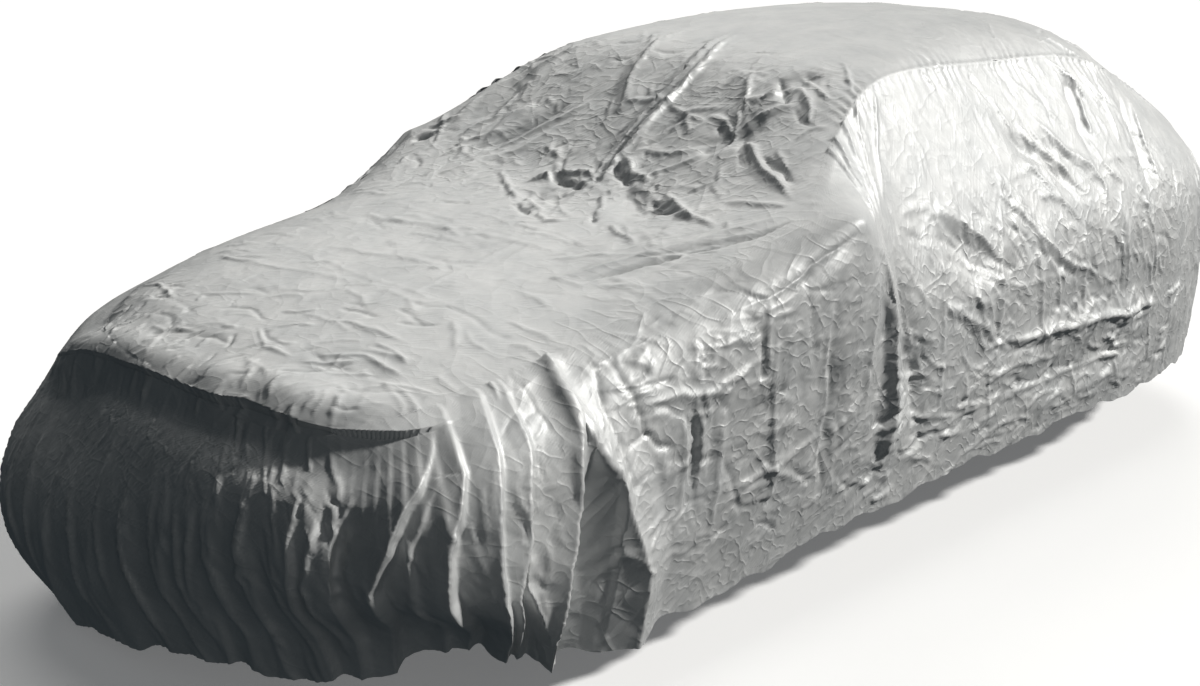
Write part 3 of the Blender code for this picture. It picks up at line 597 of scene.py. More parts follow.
# How much longer the cloth is than the shape it lies on, which makes it wrinkle: middle of the
# zone (x, y, height), half its size, extra length round or across, extra length down or along.
SLACK_ZONES = (
    ((0.0, -0.75, 1.22), (0.85, 0.50, 0.40), 0.010, 0.010),
    ((0.0, -2.25, 0.35), (1.00, 0.60, 0.45), 0.030, 0.008),
    ((0.0, 0.40, 0.60), (1.20, 1.90, 0.60), 0.007, 0.009),
    ((0.0, -1.25, 0.60), (1.20, 0.60, 0.45), 0.007, 0.006),
    ((0.0, 1.50, 1.20), (0.80, 0.60, 0.45), 0.016, 0.016),
)
SLACK_EVERYWHERE = 0.010
# How finely crumpled the cloth is: middle of the zone (x, y, height), half its size, amount.
EVEN_CRUMPLE = 0.34
CRUMPLE_ZONES = (
    ((0.0, -0.75, 1.22), (0.80, 0.55, 0.30), 0.8),
    ((0.95, 0.00, 0.60), (0.35, 2.10, 0.60), 0.9),
    ((-0.95, 0.00, 0.60), (0.35, 2.10, 0.60), 0.9),
    ((0.0, 1.75, 0.80), (0.60, 0.60, 0.60), 0.8),
    ((0.0, -2.20, 0.60), (0.70, 0.30, 0.25), 0.5),
)
# Settling from coarse to fine: grid steps taken at once, share of the slack, rounds.
SETTLING = (
    (8, 0.35, 150),
    (4, 0.65, 150),
    (2, 0.90, 150),
    (1, 1.00, 120),
)
SHAKE = 0.0010  # uneven start, so that the wrinkles are not all alike
STIFFNESS = 0.04  # how much the cloth resists bending
SLANT_PULL = 0.4  # how much it resists being pulled askew
HOLD = 0.004  # how strongly it stays near the shape it lies on
SEAM_EVENING = 0.3  # how far each round draws the seams to the cloth beside them
REACH_OUT = 0.030  # how far a wrinkle may stand out
SETTLING_SEED = 4
LYING_ROOM = 0.003  # how far the cloth may sink where it lies on something
# Where it hangs or spans a hollow: middle (x, y, height), half the size, how far it may sink.
HOLLOWS = (
    ((0.0, -0.80, 1.22), (0.80, 0.55, 0.30), 0.040),
    ((0.0, 0.00, 0.45), (1.30, 2.60, 0.50), 0.022),
    ((1.1, 0.30, 0.90), (0.52, 1.80, 0.50), 0.015),
    ((-1.1, 0.30, 0.90), (0.52, 1.80, 0.50), 0.015),
    ((0.0, 1.60, 1.15), (0.70, 0.50, 0.25), 0.012),
)

PANEL_NODES = ("top_panel", "side_panel_left", "side_panel_right")
# Pieces: name, panel, rows of its grid, and 1 where its hem is its last row or -1 where its first.
PIECES = (
    ("top_panel_front_cloth", "top_panel", slice(0, TOP_SPLIT + 1), -1),
    ("top_panel_back_cloth", "top_panel", slice(TOP_SPLIT, None), 1),
    ("side_panel_left_cloth", "side_panel_left", slice(None), 1),
    ("side_panel_right_cloth", "side_panel_right", slice(None), 1),
)

# The cloth's small crumples. Facets: cells a metre and how much they tilt. Wrinkles: how many a
# metre, how they are turned and drawn out on x, y and z, how thin they are, and their height.
FACETS = (
    (16.0, 0.12),
    (42.0, 0.07),
)
WRINKLES = (
    (5.0, (1.0, 0.0, 0.6), (1.0, 1.0, 4.0), 15.0, 0.0018),
    (11.0, (-0.7, 0.0, -0.5), (1.0, 1.0, 3.5), 12.0, 0.0017),
    (22.0, (1.3, 0.0, -1.2), (1.0, 1.0, 3.0), 10.0, 0.0012),
)
WRINKLE_CREST = 1.6  # how thin the crests of the wrinkles are
WARP_SCALE = 5.0  # what bends the facets and wrinkles: cells a metre, and how far
WARP_SPREAD = 0.04
STITCH_HEIGHT = 0.0006
WEAVE_SCALE = 240.0
WEAVE_HEIGHT = 0.00012
# The coating's patches and specks: cells a metre, layers, roughness of the noise.
PATCH_NOISE = (7.0, 6.0, 0.65)
SPECK_NOISE = (23.0, 5.0, 0.6)
SPECK_SMOOTHER = 0.05  # how much smoother and how much rougher the specks make the coating
SPECK_ROUGHER = 0.07
SPECULAR_LEVEL = 0.4

# Light: the way each lamp shines. Fill lamps: name, strength, width in degrees, way.
LAMP_COLOUR = (1.0, 0.985, 0.955)
KEY_WAY = (-0.575, -0.505, -0.645)
FILL_LAMPS = (
    ("top_fill", 1.0, 45.0, (0.60, -0.36, -0.71)),
    ("side_fill", 0.2, 50.0, (-0.90, 0.25, -0.35)),
)

# Point attributes that the cloth's material reads.
CRUMPLE = "crumple"
FROM_STITCHES = "from_stitches"
ALONG_STITCHES = "along_stitches"

CAMERA_PLACE = (3.016, -3.672, 1.942)  # over the ground
CAMERA_HEADING = math.radians(46.267)
CAMERA_PITCH = math.radians(18.0)
CAMERA_ROLL = math.radians(1.3)
CAMERA_FOCAL = 1415.0  # in pixels of a frame 1200 wide
FRAME_WIDTH = 1200.0
SENSOR = 36.0
FLOOR_SIZE = 500.0  # from its middle to each side
FLOOR_ROUGHNESS = 0.9
FLOOR_GLOW = 0.14  # lifts the lit floor to white


def smooth_step(value):
    value = np.clip(value, 0.0, 1.0)
    return value * value * (3.0 - 2.0 * value)


def curve_between(a, b, c, d, part):
    """Point on the smooth curve from b to c, where a and d are the neighbours."""
    slope = 0.5 * (c - a)
    bend = 0.5 * (2.0 * a - 5.0 * b + 4.0 * c - d)
    twist = 0.5 * (3.0 * b - a - 3.0 * c + d)
    return b + slope * part + bend * part**2 + twist * part**3


def along_rows(rows, places, ends_mirrored):
    """Smooth curve through the rows; a place counts rows. Mirrored ends cross x = 0 squarely."""
    points = np.array(rows, dtype=float)
    before = 2.0 * points[0] - points[1]
    after = 2.0 * points[-1] - points[-2]
    if ends_mirrored:
        before = points[1] * MIRRORED
        after = points[-2] * MIRRORED
    padded = np.vstack((before, points, after))
    first = np.clip(np.floor(places).astype(int), 0, len(points) - 2)
    four = [padded[first + offset] for offset in range(4)]
    return curve_between(*four, (places - first)[:, None])


def way_along(points):
    """Length along a line of points, from its start."""
    return np.concatenate(((0.0,), np.cumsum(np.linalg.norm(np.diff(points, axis=0), axis=1))))


def even_places(start, end, steps):
    """Places evenly spaced in length along the widest ring."""
    fine = np.linspace(start, end, RING_STEPS + 1)
    way = way_along(along_rows(WIDE_RING, fine, True))
    return np.interp(np.linspace(0.0, way[-1], steps + 1), way, fine)


def round_of(places):
    """Way along the widest ring from the middle of the front to each place."""
    fine = np.linspace(0.0, REAR_MIDDLE, RING_STEPS + 1)
    return np.interp(places, fine, way_along(along_rows(WIDE_RING, fine, True)))


def end_places(out):
    """For shares out from the middle: places in front, places at the rear, and which side is which."""
    sides = np.column_stack((np.sign(out + 1e-9), np.ones((len(out), 2))))
    front = FRONT_CORNER * np.abs(out)
    rear = REAR_MIDDLE - (REAR_MIDDLE - REAR_CORNER) * np.abs(out)
    return front, rear, sides


def depths_down():
    """Depths of the wall's levels, 0 at the seam ring and 3 at the hem ring."""
    ends = np.concatenate(((0.0,), np.cumsum(DOWN_SHARES)))
    return np.interp(np.linspace(0.0, 1.0, DOWN + 1), ends, np.arange(4.0))


def wall_points(places, depths):
    """Points of the wall: array of depths by places by xyz."""
    seam, belt, wide, hem = [along_rows(ring, places, True) for ring in RINGS]
    above = seam + SEAM_CURL * (seam - belt) * np.array((1.0, 1.0, SEAM_CURL_RISE))
    below = 2.0 * hem - wide
    lines = (above, seam, belt, wide, hem, below)
    levels = []
    for depth in depths:
        first = min(int(depth), 2)
        levels.append(curve_between(*lines[first : first + 4], depth - first))
    return np.array(levels)


def top_points(places, out):
    """Points of the top: array of places by shares out from the middle by xyz."""
    seam_side = along_rows(SEAM_RING, places, True)
    middle = np.array(MIDDLE_LINE)
    share = (seam_side[:, 1] - seam_side[0, 1]) / (seam_side[-1, 1] - seam_side[0, 1])
    middle_y = middle[0, 0] + share * (middle[-1, 0] - middle[0, 0])
    row_places = np.interp(middle_y, middle[:, 0], np.arange(len(middle)))
    middle_height = along_rows(MIDDLE_LINE, row_places, False)[:, 1]
    for _ in range(MIDDLE_EVENING):
        inner = 0.25 * (middle_height[:-2] + 2.0 * middle_height[1:-1] + middle_height[2:])
        middle_height[1:-1] = inner
    crown = 1.0 - np.abs(out) ** TOP_ROUNDNESS
    top = np.zeros((len(places), len(out), 3))
    top[:, :, 0] = seam_side[:, None, 0] * out
    top[:, :, 1] = seam_side[:, None, 1] + (middle_y - seam_side[:, 1])[:, None] * crown
    top[:, :, 2] = seam_side[:, None, 2] + (middle_height - seam_side[:, 2])[:, None] * crown
    front_places, rear_places, sides = end_places(out)
    to_front = along_rows(SEAM_RING, front_places, True) * sides - top[0]
    to_rear = along_rows(SEAM_RING, rear_places, True) * sides - top[-1]
    near_front = np.clip(1.0 - (places - FRONT_CORNER) / FRONT_BLEND, 0.0, 1.0) ** 2
    near_rear = np.clip(1.0 - (REAR_CORNER - places) / REAR_BLEND, 0.0, 1.0) ** 2
    top += to_front * near_front[:, None, None]
    top += to_rear * near_rear[:, None, None]
    return top


def leaned(points):
    """The front end pulled askew."""
    x, y, z = np.moveaxis(points, -1, 0)
    askew = np.clip(x / LEAN_HALF_WIDTH, -LEAN_MOST, LEAN_MOST)
    askew = askew * smooth_step((LEAN_START - y) / LEAN_RUN)
    moved = points.copy()
    moved[..., 1] += LEAN_FORWARD * askew * smooth_step((LEAN_FORWARD_TOP - z) / LEAN_FORWARD_DROP)
    moved[..., 2] += LEAN_LIFT * askew * smooth_step((LEAN_LIFT_TOP - z) / LEAN_LIFT_DROP)
    return moved


def peaked(points):
    """The cloth drawn out to a peak on each side."""
    moved = points.copy()
    for foot, tip, forward in PEAKS:
        foot = np.array(foot)
        way = points - foot
        way[..., 1] *= np.where(way[..., 1] < 0.0, forward, 1.0)
        way[..., 2] *= np.where(way[..., 2] < 0.0, PEAK_HANG, 1.0)
        near = np.clip(1.0 - np.linalg.norm(way, axis=-1) / PEAK_REACH, 0.0, 1.0)
        moved += near[..., None] ** PEAK_SHARPNESS * (np.array(tip) - foot)
    return moved


def hem_wave(points, rounds, on_wall):
    """Small unevenness of the hem, along its length."""
    low = smooth_step((HEM_WAVE_TOP - points[..., 2]) / HEM_WAVE_DROP) * on_wall
    moved = points.copy()
    for waves, size, start in HEM_WAVES:
        moved[..., 2] += size * low * np.sin(waves * rounds + start)
    return moved


class Panel:
    """One panel as a grid of points, with each point's place on the cloth."""

    def __init__(self, points, rounds, on_wall):
        points = peaked(leaned(points))
        self.points = hem_wave(points, rounds, on_wall)
        self.rounds = rounds
        self.on_wall = on_wall

    def places(self, wander):
        """Round and height on the wall, x and y on the top, astray by waves of about wander.

        The waves have unlike lengths, so that nothing repeats.
        """
        first = np.where(self.on_wall, self.rounds, self.points[..., 0])
        second = np.where(self.on_wall, self.points[..., 2], self.points[..., 1])
        turn = 19.0 * second + 2.0 * np.sin(11.0 * first) + 1.0 * np.sin(37.0 * first)
        other = 23.0 * first + 2.0 * np.sin(13.0 * second) + 1.0 * np.sin(41.0 * second)
        off_first = np.sin(turn) + 0.5 * np.sin(2.7 * turn + other)
        off_second = np.sin(other) + 0.5 * np.sin(2.3 * other + turn)
        return np.stack((first + wander * off_first, second + wander * off_second), axis=-1)


def even_panels():
    """The three panels before they are folded: top, left, right."""
    places = even_places(FRONT_CORNER, REAR_CORNER, ALONG)
    depths = depths_down()
    out = np.linspace(-1.0, 1.0, ACROSS + 1)
    front_places, rear_places, sides = end_places(out)
    front = wall_points(front_places, depths[1:])[::-1] * sides
    rear = wall_points(rear_places, depths[1:]) * sides
    top = np.concatenate((front, top_points(places, out), rear))
    rounds = np.zeros(top.shape[:2])
    rounds[:DOWN] = round_of(front_places) * sides[:, 0]
    rounds[-DOWN:] = round_of(rear_places) * sides[:, 0]
    on_wall = np.zeros(top.shape[:2], dtype=bool)
    on_wall[: DOWN + 1] = True
    on_wall[-DOWN - 1 :] = True
    rounds[DOWN] = rounds[DOWN - 1]
    rounds[-DOWN - 1] = rounds[-DOWN]
    side = wall_points(places, depths)
    side_rounds = np.broadcast_to(round_of(places), side.shape[:2])
    wall = np.ones(side.shape[:2], dtype=bool)
    return [
        Panel(top, rounds, on_wall),
        Panel(side, side_rounds, wall),
        Panel(side * MIRRORED, -side_rounds, wall),
    ]


def seam_edges(column, stride):
    """Front drop, long side and rear drop of a seam: its points in the top's grid and in the side's,
    and the points beside it in both."""
    start = DOWN // stride
    end = start + ALONG // stride
    inner = 1 if column == 0 else -2
    whole = slice(None)
    for rows, edge, beside in (
        (slice(start, None, -1), (whole, 0), (whole, 1)),
        (slice(start, end + 1), (0, whole), (1, whole)),
        (slice(end, None), (whole, -1), (whole, -2)),
    ):
        yield (rows, column), edge, (rows, inner), beside


def join_seams(grids, stride=1, evening=0.0):
    """Makes the panels' shared edges one line: the mean of the two, evened with what lies beside."""
    top, left, right = grids
    for side, column in ((left, -1), (right, 0)):
        for top_edge, side_edge, top_inner, side_inner in seam_edges(column, stride):
            mean = 0.5 * (top[top_edge] + side[side_edge])
            beside = 0.5 * (top[top_inner] + side[side_inner])
            mean = mean + evening * (beside - mean)
            top[top_edge] = mean
            side[side_edge] = mean


def normals_of(grids):
    """Unit normals of the grids' points, outwards, shared along the seams."""
    found = []
    for grid, turn in zip(grids, (1.0, -1.0, 1.0)):
        normal = turn * np.cross(np.gradient(grid, axis=1), np.gradient(grid, axis=0))
        found.append(normal / np.linalg.norm(normal, axis=-1, keepdims=True))
    join_seams(found)
    return [normal / np.linalg.norm(normal, axis=-1, keepdims=True) for normal in found]


def near_line(places, line, reach):
    """Which places are in the box round a line."""
    low = line.min(axis=0) - reach
    high = line.max(axis=0) + reach
    near = (places[..., 0] > low[0]) & (places[..., 0] < high[0])
    return near & (places[..., 1] > low[1]) & (places[..., 1] < high[1])


def add_fold(total, places, start, end, width, rise, open_start=False):
    """Adds one main fold: a spindle-shaped ridge from start to end."""
    line = np.array((start, end))
    near = near_line(places, line, 0.5 * width)
    if not near.any():
        return
    way = line[1] - line[0]
    spots = places[near]
    part = np.clip((spots - line[0]) @ way / (way @ way), 0.0, 1.0)
    nearest = line[0] + part[:, None] * way
    lengthways = smooth_step((1.0 - part) / FOLD_FADE)
    if not open_start:
        lengthways = lengthways * smooth_step(part / FOLD_FADE)
    half_width = 0.5 * width * (0.4 + 0.6 * lengthways)
    off = np.clip(np.linalg.norm(spots - nearest, axis=1) / half_width, 0.0, 1.0)
    soft = 0.5 + 0.5 * np.cos(np.pi * off)
    sharp = (1.0 - off) ** 2
    total[near] += rise * lengthways * (soft + FOLD_SHARPNESS * (sharp - soft))


def nearest_on_line(spots, line):
    """The nearest place of a line to each spot: how far off, how far along, the way from it to the
    spot and the line's own way there; and the length of the line."""
    best = np.full(len(spots), FAR_OFF)
    along = np.zeros(len(spots))
    gaps = np.zeros(spots.shape)
    headings = np.zeros(spots.shape)
    start = 0.0
    ways = np.diff(line, axis=0)
    for point, way, length in zip(line, ways, np.linalg.norm(ways, axis=1)):
        part = np.clip((spots - point) @ way / length**2, 0.0, 1.0)
        gap = spots - point - part[:, None] * way
        off = np.linalg.norm(gap, axis=1)
        closer = off < best
        best[closer] = off[closer]
        along[closer] = start + part[closer] * length
        gaps[closer] = gap[closer]
        headings[closer] = way
        start += length
    return best, along, gaps, headings, start


def add_crease(total, places, width, rise, points):
    """Adds one thin crease along a row of points, sharp at its crest and fading at both ends."""
    line = np.array(points, dtype=float)
    half = 0.5 * width
    near = near_line(places, line, half)
    if not near.any():
        return
    spots = places[near]
    x, y = spots.T
    wobble = np.sin(53.0 * x + 31.0 * y) + np.sin(97.0 * y - 41.0 * x)
    spots = spots + CREASE_WOBBLE * wobble[:, None] * np.array((1.0, 0.6))
    best, along, _, _, length = nearest_on_line(spots, line)
    share = along / length
    lengthways = smooth_step(share / CREASE_FADE) * smooth_step((1.0 - share) / CREASE_FADE)
    off = np.clip(best / (half * (0.5 + 0.5 * lengthways)), 0.0, 1.0)
    total[near] += rise * lengthways * (1.0 - off) ** 2


def add_pleat(total, places, right_width, left_width, rise, points):
    """Adds one pleat, which falls off at one rate on the right of its crest and at another on the
    left; it shows at any height below its top."""
    line = np.array(points, dtype=float)
    low = line.min(axis=0) - right_width
    high = line.max(axis=0) + right_width
    near = (places[..., 0] > low[0]) & (places[..., 0] < high[0]) & (places[..., 1] < high[1])
    if not near.any():
        return
    spots = places[near]
    best, along, gaps, ways, length = nearest_on_line(spots, line)
    on_left = ways[:, 0] * gaps[:, 1] - ways[:, 1] * gaps[:, 0] > 0.0
    wide = np.where(on_left, left_width, right_width)
    shown = smooth_step(along / length / PLEAT_FADE)
    off = np.clip(best / (wide * (0.45 + 0.55 * shown)), 0.0, 1.0)
    total[near] += rise * shown * (1.0 - off) ** PLEAT_CREST


def strewn_creases(rng, row):
    """Small creases of random place, length and direction in a zone."""
    low_a, high_a, low_b, high_b, count, length, width, rise, heading, spread = row
    for _ in range(count):
        middle = np.array((rng.uniform(low_a, high_a), rng.uniform(low_b, high_b)))
        angle = math.radians(heading + spread * rng.uniform(-1.0, 1.0))
        reach = 0.5 * length * rng.uniform(0.5, 1.6)
        way = reach * np.array((math.cos(angle), math.sin(angle)))
        bend = 0.25 * rng.uniform(-1.0, 1.0) * np.array((-way[1], way[0]))
        size = rise * rng.uniform(0.4, 1.5) * (1.0 if rng.uniform() < 0.7 else -1.0)
        yield width * rng.uniform(0.8, 1.4), size, (middle - way, middle + bend, middle + way)


def star_creases(rng, place, reach, arms, rise):
    """Creases that run out from one place."""
    turn = rng.uniform(0.0, 2.0 * math.pi)
    for arm in range(arms):
        angle = turn + 2.0 * math.pi * (arm + rng.uniform(-0.3, 0.3)) / arms
        far = reach * rng.uniform(0.6, 1.5)
        way = np.array((math.cos(angle), math.sin(angle)))
        size = (1.0 if arm % 3 else STAR_TROUGH) * rise * rng.uniform(0.6, 1.2)
        yield STAR_WIDTH, size, [np.array(place) + share * far * way for share in STAR_PLACES]


def main_rise(panel):
    """Rise of the main folds at every point of a panel."""
    places = panel.places(FOLD_WANDER)
    wall = np.zeros(places.shape[:-1])
    for hem_round, top_round, top_height, width, rise in GATHERS:
        ends = ((hem_round, GATHER_FOOT), (top_round, top_height))
        add_fold(wall, places, *ends, width, rise * GATHER_SHARE, open_start=True)
    straight = panel.places(CREASE_WANDER)
    first, last = PLEAT_SINK_ROUNDS
    between = smooth_step((straight[..., 0] - first) / PLEAT_SINK_RUN)
    between = between * smooth_step((last - straight[..., 0]) / PLEAT_SINK_RUN)
    wall -= PLEAT_SINK * between * smooth_step((PLEAT_SINK_TOP - straight[..., 1]) / PLEAT_SINK_DROP)
    for pleat in PLEATS:
        add_pleat(wall, straight, *pleat)
    for side in (1.0, -1.0):
        turned = places * np.array((side, 1.0))
        for round_a, height_a, round_b, height_b, width, rise in SIDE_FOLDS:
            ends = ((round_a, height_a), (round_b, height_b))
            add_fold(wall, turned, *ends, width, rise * SIDE_FOLD_SHARE)
    reach = np.abs(places[..., 0])
    low = smooth_step((BACK_GATHER_TOP - places[..., 1]) / BACK_GATHER_DROP)
    back = low * smooth_step((reach - BACK_GATHER_START) / BACK_GATHER_RUN)
    wall += BACK_GATHER_RISE * back * np.cos(2.0 * np.pi * reach / BACK_GATHER_SPACING)
    top = np.zeros(places.shape[:-1])
    for x_a, y_a, x_b, y_b, width, rise in TOP_FOLDS:
        add_fold(top, places, (x_a, y_a), (x_b, y_b), width, rise * TOP_FOLD_SHARE)
    return np.where(panel.on_wall, wall, top)


def crease_rise(panel):
    """Rise of the thin creases at every point of a panel."""
    places = panel.places(CREASE_WANDER)
    mirrored = places * np.array((-1.0, 1.0))
    wall = np.zeros(places.shape[:-1])
    top = np.zeros(places.shape[:-1])
    zones = (((top, places),), ((wall, places), (wall, mirrored)))
    for crease in WALL_CREASES:
        add_crease(wall, places, *crease)
    for crease in SIDE_CREASES:
        add_crease(wall, places, *crease)
        add_crease(wall, mirrored, *crease)
    for crease in TOP_CREASES:
        add_crease(top, places, *crease)
    for on_wall, points, rise in PACK_LINES:
        for zone in zones[on_wall]:
            add_crease(*zone, PACK_LINE_WIDTH, rise, points)
    rng = np.random.default_rng(CREASE_SEED)
    for on_wall, *row in STREWN:
        for zone in zones[on_wall]:
            for crease in strewn_creases(rng, row):
                add_crease(*zone, *crease)
    for on_wall, first, second, reach, arms, rise in STARS:
        for zone in zones[on_wall]:
            for crease in star_creases(rng, (first, second), reach, arms, rise):
                add_crease(*zone, *crease)
    return np.where(panel.on_wall, wall, top)


def pressed(grids, normals, rises, walls):
    """The grids moved out by their rises, on the walls sideways only near the ground."""
    moved = []
    for grid, normal, rise, wall in zip(grids, normals, rises, walls):
        normal = normal.copy()
        sideways = np.where(wall, smooth_step(grid[..., 2] / LEVEL_PRESS_HEIGHT), 1.0)
        normal[..., 2] *= sideways
        moved.append(grid + normal * rise[..., None])
    return moved


def inside_zone(points, middle, half, steepness):
    """How far inside a box each point is: 0 at its sides, 1 well within."""
    off = np.abs(points - np.array(middle)) / np.array(half)
    return smooth_step(steepness * (1.0 - off.max(axis=-1)))


def slack_of(points):
    """Extra length of the cloth at each point, across and down."""
    across = np.full(points.shape[:-1], SLACK_EVERYWHERE)
    down = np.full(points.shape[:-1], SLACK_EVERYWHERE)
    for middle, half, more_across, more_down in SLACK_ZONES:
        inside = inside_zone(points, middle, half, 2.0)
        across += more_across * inside
        down += more_down * inside
    return across, down


def length_of(ways):
    """Length of every way."""
    return np.sqrt(np.einsum("...i,...i", ways, ways))


def pull(a, b, rest, strength):
    """Moves both ends of every thread so that it gets nearer its own length."""
    way = b - a
    way *= (0.5 * strength * (1.0 - rest / length_of(way)))[..., None]
    a += way
    b -= way


def evened(values):
    """Each value moved to the mean of its four neighbours; edges stay."""
    inner = 0.25 * (values[:-2, 1:-1] + values[2:, 1:-1] + values[1:-1, :-2] + values[1:-1, 2:])
    result = values.copy()
    result[1:-1, 1:-1] = inner
    return result


def refined(values, columns_too=True):
    """A grid with a new point between every two."""
    rows = np.empty((values.shape[0] * 2 - 1,) + values.shape[1:], dtype=values.dtype)
    rows[::2] = values
    rows[1::2] = 0.5 * (values[:-1] + values[1:])
    if columns_too:
        return refined(rows.swapaxes(0, 1), False).swapaxes(0, 1).copy()
    return rows


class Cloth:
    """A panel's grid with the lengths of its threads, which settles into wrinkles."""

    def __init__(self, grid, normal, inward, stride, share, off):
        self.base = grid[::stride, ::stride].astype(np.float32)
        self.normal = normal[::stride, ::stride].astype(np.float32)
        self.inward = inward[::stride, ::stride].astype(np.float32)
        across, down = [share * extra for extra in slack_of(self.base)]
        both = (0.5 * (across + down))[:-1, :-1]
        upper, lower = self.base[:-1], self.base[1:]
        threads = (
            (np.diff(self.base, axis=1), across[:, :-1]),
            (np.diff(self.base, axis=0), down[:-1]),
            (lower[:, 1:] - upper[:, :-1], both),
            (lower[:, :-1] - upper[:, 1:], both),
        )
        lengths = [(length_of(ways) * (1.0 + extra)).astype(np.float32) for ways, extra in threads]
        self.across, self.down, self.falling, self.rising = lengths
        self.off = off.astype(np.float32)

    def tighten(self):
        """Brings every thread nearer its own length."""
        points = self.base + self.off
        columns = self.across.shape[1]
        rows = self.down.shape[0]
        for start in (0, 1):
            pull(points[:, start:columns:2], points[:, start + 1 :: 2], self.across[:, start::2], 1.0)
            pull(points[start:rows:2], points[start + 1 :: 2], self.down[start::2], 1.0)
        for start in (0, 1):
            upper = points[start:rows:2]
            lower = points[start + 1 :: 2]
            pull(upper[:, :-1], lower[:, 1:], self.falling[start::2], SLANT_PULL)
            pull(upper[:, 1:], lower[:, :-1], self.rising[start::2], SLANT_PULL)
        self.off = points - self.base

    def relax(self):
        """Bending and the shape below: small wrinkles even out, and none gets too high."""
        off = self.off
        off += STIFFNESS * (evened(evened(off)) - off)
        off *= 1.0 - HOLD
        out = np.einsum("...i,...i", off, self.normal)
        limited = np.clip(out, -self.inward, REACH_OUT)
        off += (limited - out)[..., None] * self.normal


def settled(grids, normals, inwards, slack):
    """The folded panels with the wrinkles of a cloth that is longer than what it lies on."""
    rng = np.random.default_rng(SETTLING_SEED)
    offs = None
    for stride, share, rounds in SETTLING:
        shakes = []
        for grid, normal in zip(grids, normals):
            normal = normal[::stride, ::stride]
            noise = rng.normal(size=normal.shape[:2])
            for _ in range(2):
                noise = evened(noise)
            noise *= SHAKE * stride / noise.std()
            shakes.append(normal * noise[..., None])
        if offs is None:
            offs = shakes
        else:
            offs = [refined(off) + 0.5 * shake for off, shake in zip(offs, shakes)]
        cloths = [
            Cloth(grid, normal, inward, stride, share * slack, off)
            for grid, normal, inward, off in zip(grids, normals, inwards, offs)
        ]
        for _ in range(rounds):
            for cloth in cloths:
                cloth.tighten()
                cloth.relax()
            join_seams([cloth.off for cloth in cloths], stride, SEAM_EVENING)
        offs = [cloth.off for cloth in cloths]
    return [grid + off for grid, off in zip(grids, offs)]


def room_inwards(panel):
    """How far each point may sink: little where the cloth lies on something, more where it hangs."""
    room = np.full(panel.points.shape[:2], LYING_ROOM)
    for middle, half, depth in HOLLOWS:
        room = np.maximum(room, depth * inside_zone(panel.points, middle, half, 2.5))
    return room


def way_down(grid):
    """Length down each column of a grid, from its first row."""
    steps = np.linalg.norm(np.diff(grid, axis=0), axis=2)
    return np.concatenate((np.zeros((1, grid.shape[1])), np.cumsum(steps, axis=0)))


def seam_ways(grids):
    """For every point, the way from the long seam and the way along it; far off where it has none."""
    top, left, right = grids
    rows = slice(DOWN, DOWN + ALONG + 1)
    off = np.full(top.shape[:2], FAR_OFF)
    along = np.zeros(top.shape[:2])
    half = ACROSS // 2
    for columns in (slice(0, half + 1), slice(None, half - 1, -1)):
        part = top[rows, columns]
        off[rows, columns] = np.minimum(off[rows, columns], way_down(part.swapaxes(0, 1)).T)
        along[rows, columns] = way_along(part[:, 0])[:, None]
    found = [(off, along)]
    for side in (left, right):
        found.append((way_down(side), np.broadcast_to(way_along(side[0]), side.shape[:2])))
    return found


def seam_rise(panels, grids):
    """Rise of the sewn rib and of the puckers beside it at every point."""
    rises = []
    side_rounds = np.abs(panels[1].rounds[0])
    shown = smooth_step((side_rounds - SEAM_START) / SEAM_START_RUN)
    shown = SEAM_ELSEWHERE + (1.0 - SEAM_ELSEWHERE) * shown
    for index, (off, along) in enumerate(seam_ways(grids)):
        share = shown if index else np.pad(shown, DOWN)[:, None]
        turn = 2.0 * np.pi * along / PUCKER_PITCH
        for shift, length in PUCKER_SHIFTS:
            turn = turn + shift * np.sin(2.0 * np.pi * along / length)
        wave = np.sin(2.0 * np.pi * along / PUCKER_UNEVEN_LENGTH + 1.0)
        uneven = 1.0 - PUCKER_UNEVENNESS + PUCKER_UNEVENNESS * wave
        puckers = PUCKER_RISE * uneven * np.sin(turn) * np.exp(-off / PUCKER_REACH)
        rib = RIB_RISE * np.exp(-((off / RIB_HALF_WIDTH) ** 2))
        rises.append(share * (puckers * smooth_step(off / PUCKER_CLEAR) + rib))
    return rises


def front_edge_rise(points):
    """Rise of the front edge of the top at every point, and the fall of the cloth below it."""
    places = np.linspace(0.0, len(FRONT_EDGE) - 1.0, FRONT_EDGE_STEPS + 1)
    line = along_rows(FRONT_EDGE, places, False)
    total = np.zeros(points.shape[:-1])
    near = points[..., 1] < line[:, 1].max() + FRONT_EDGE_BEHIND
    near &= points[..., 2] > line[:, 2].min() - FRONT_EDGE_BELOW
    best, along, gaps, _, length = nearest_on_line(points[near], line)
    ends = smooth_step(FRONT_EDGE_ENDS * along / length)
    ends = ends * smooth_step(FRONT_EDGE_ENDS * (1.0 - along / length))
    uneven = 1.0 + FRONT_EDGE_UNEVENNESS * np.sin(17.0 * along + 2.0 * np.sin(7.0 * along))
    rise = FRONT_EDGE_RISE * uneven * np.exp(-((best / FRONT_EDGE_HALF_WIDTH) ** 2))
    dip = FRONT_DIP * (gaps[:, 2] < 0.0) * smooth_step(best / FRONT_DIP_PLACE)
    rise -= dip * (1.0 - smooth_step((best - FRONT_DIP_PLACE) / FRONT_DIP_RUN))
    total[near] = ends * rise
    return total


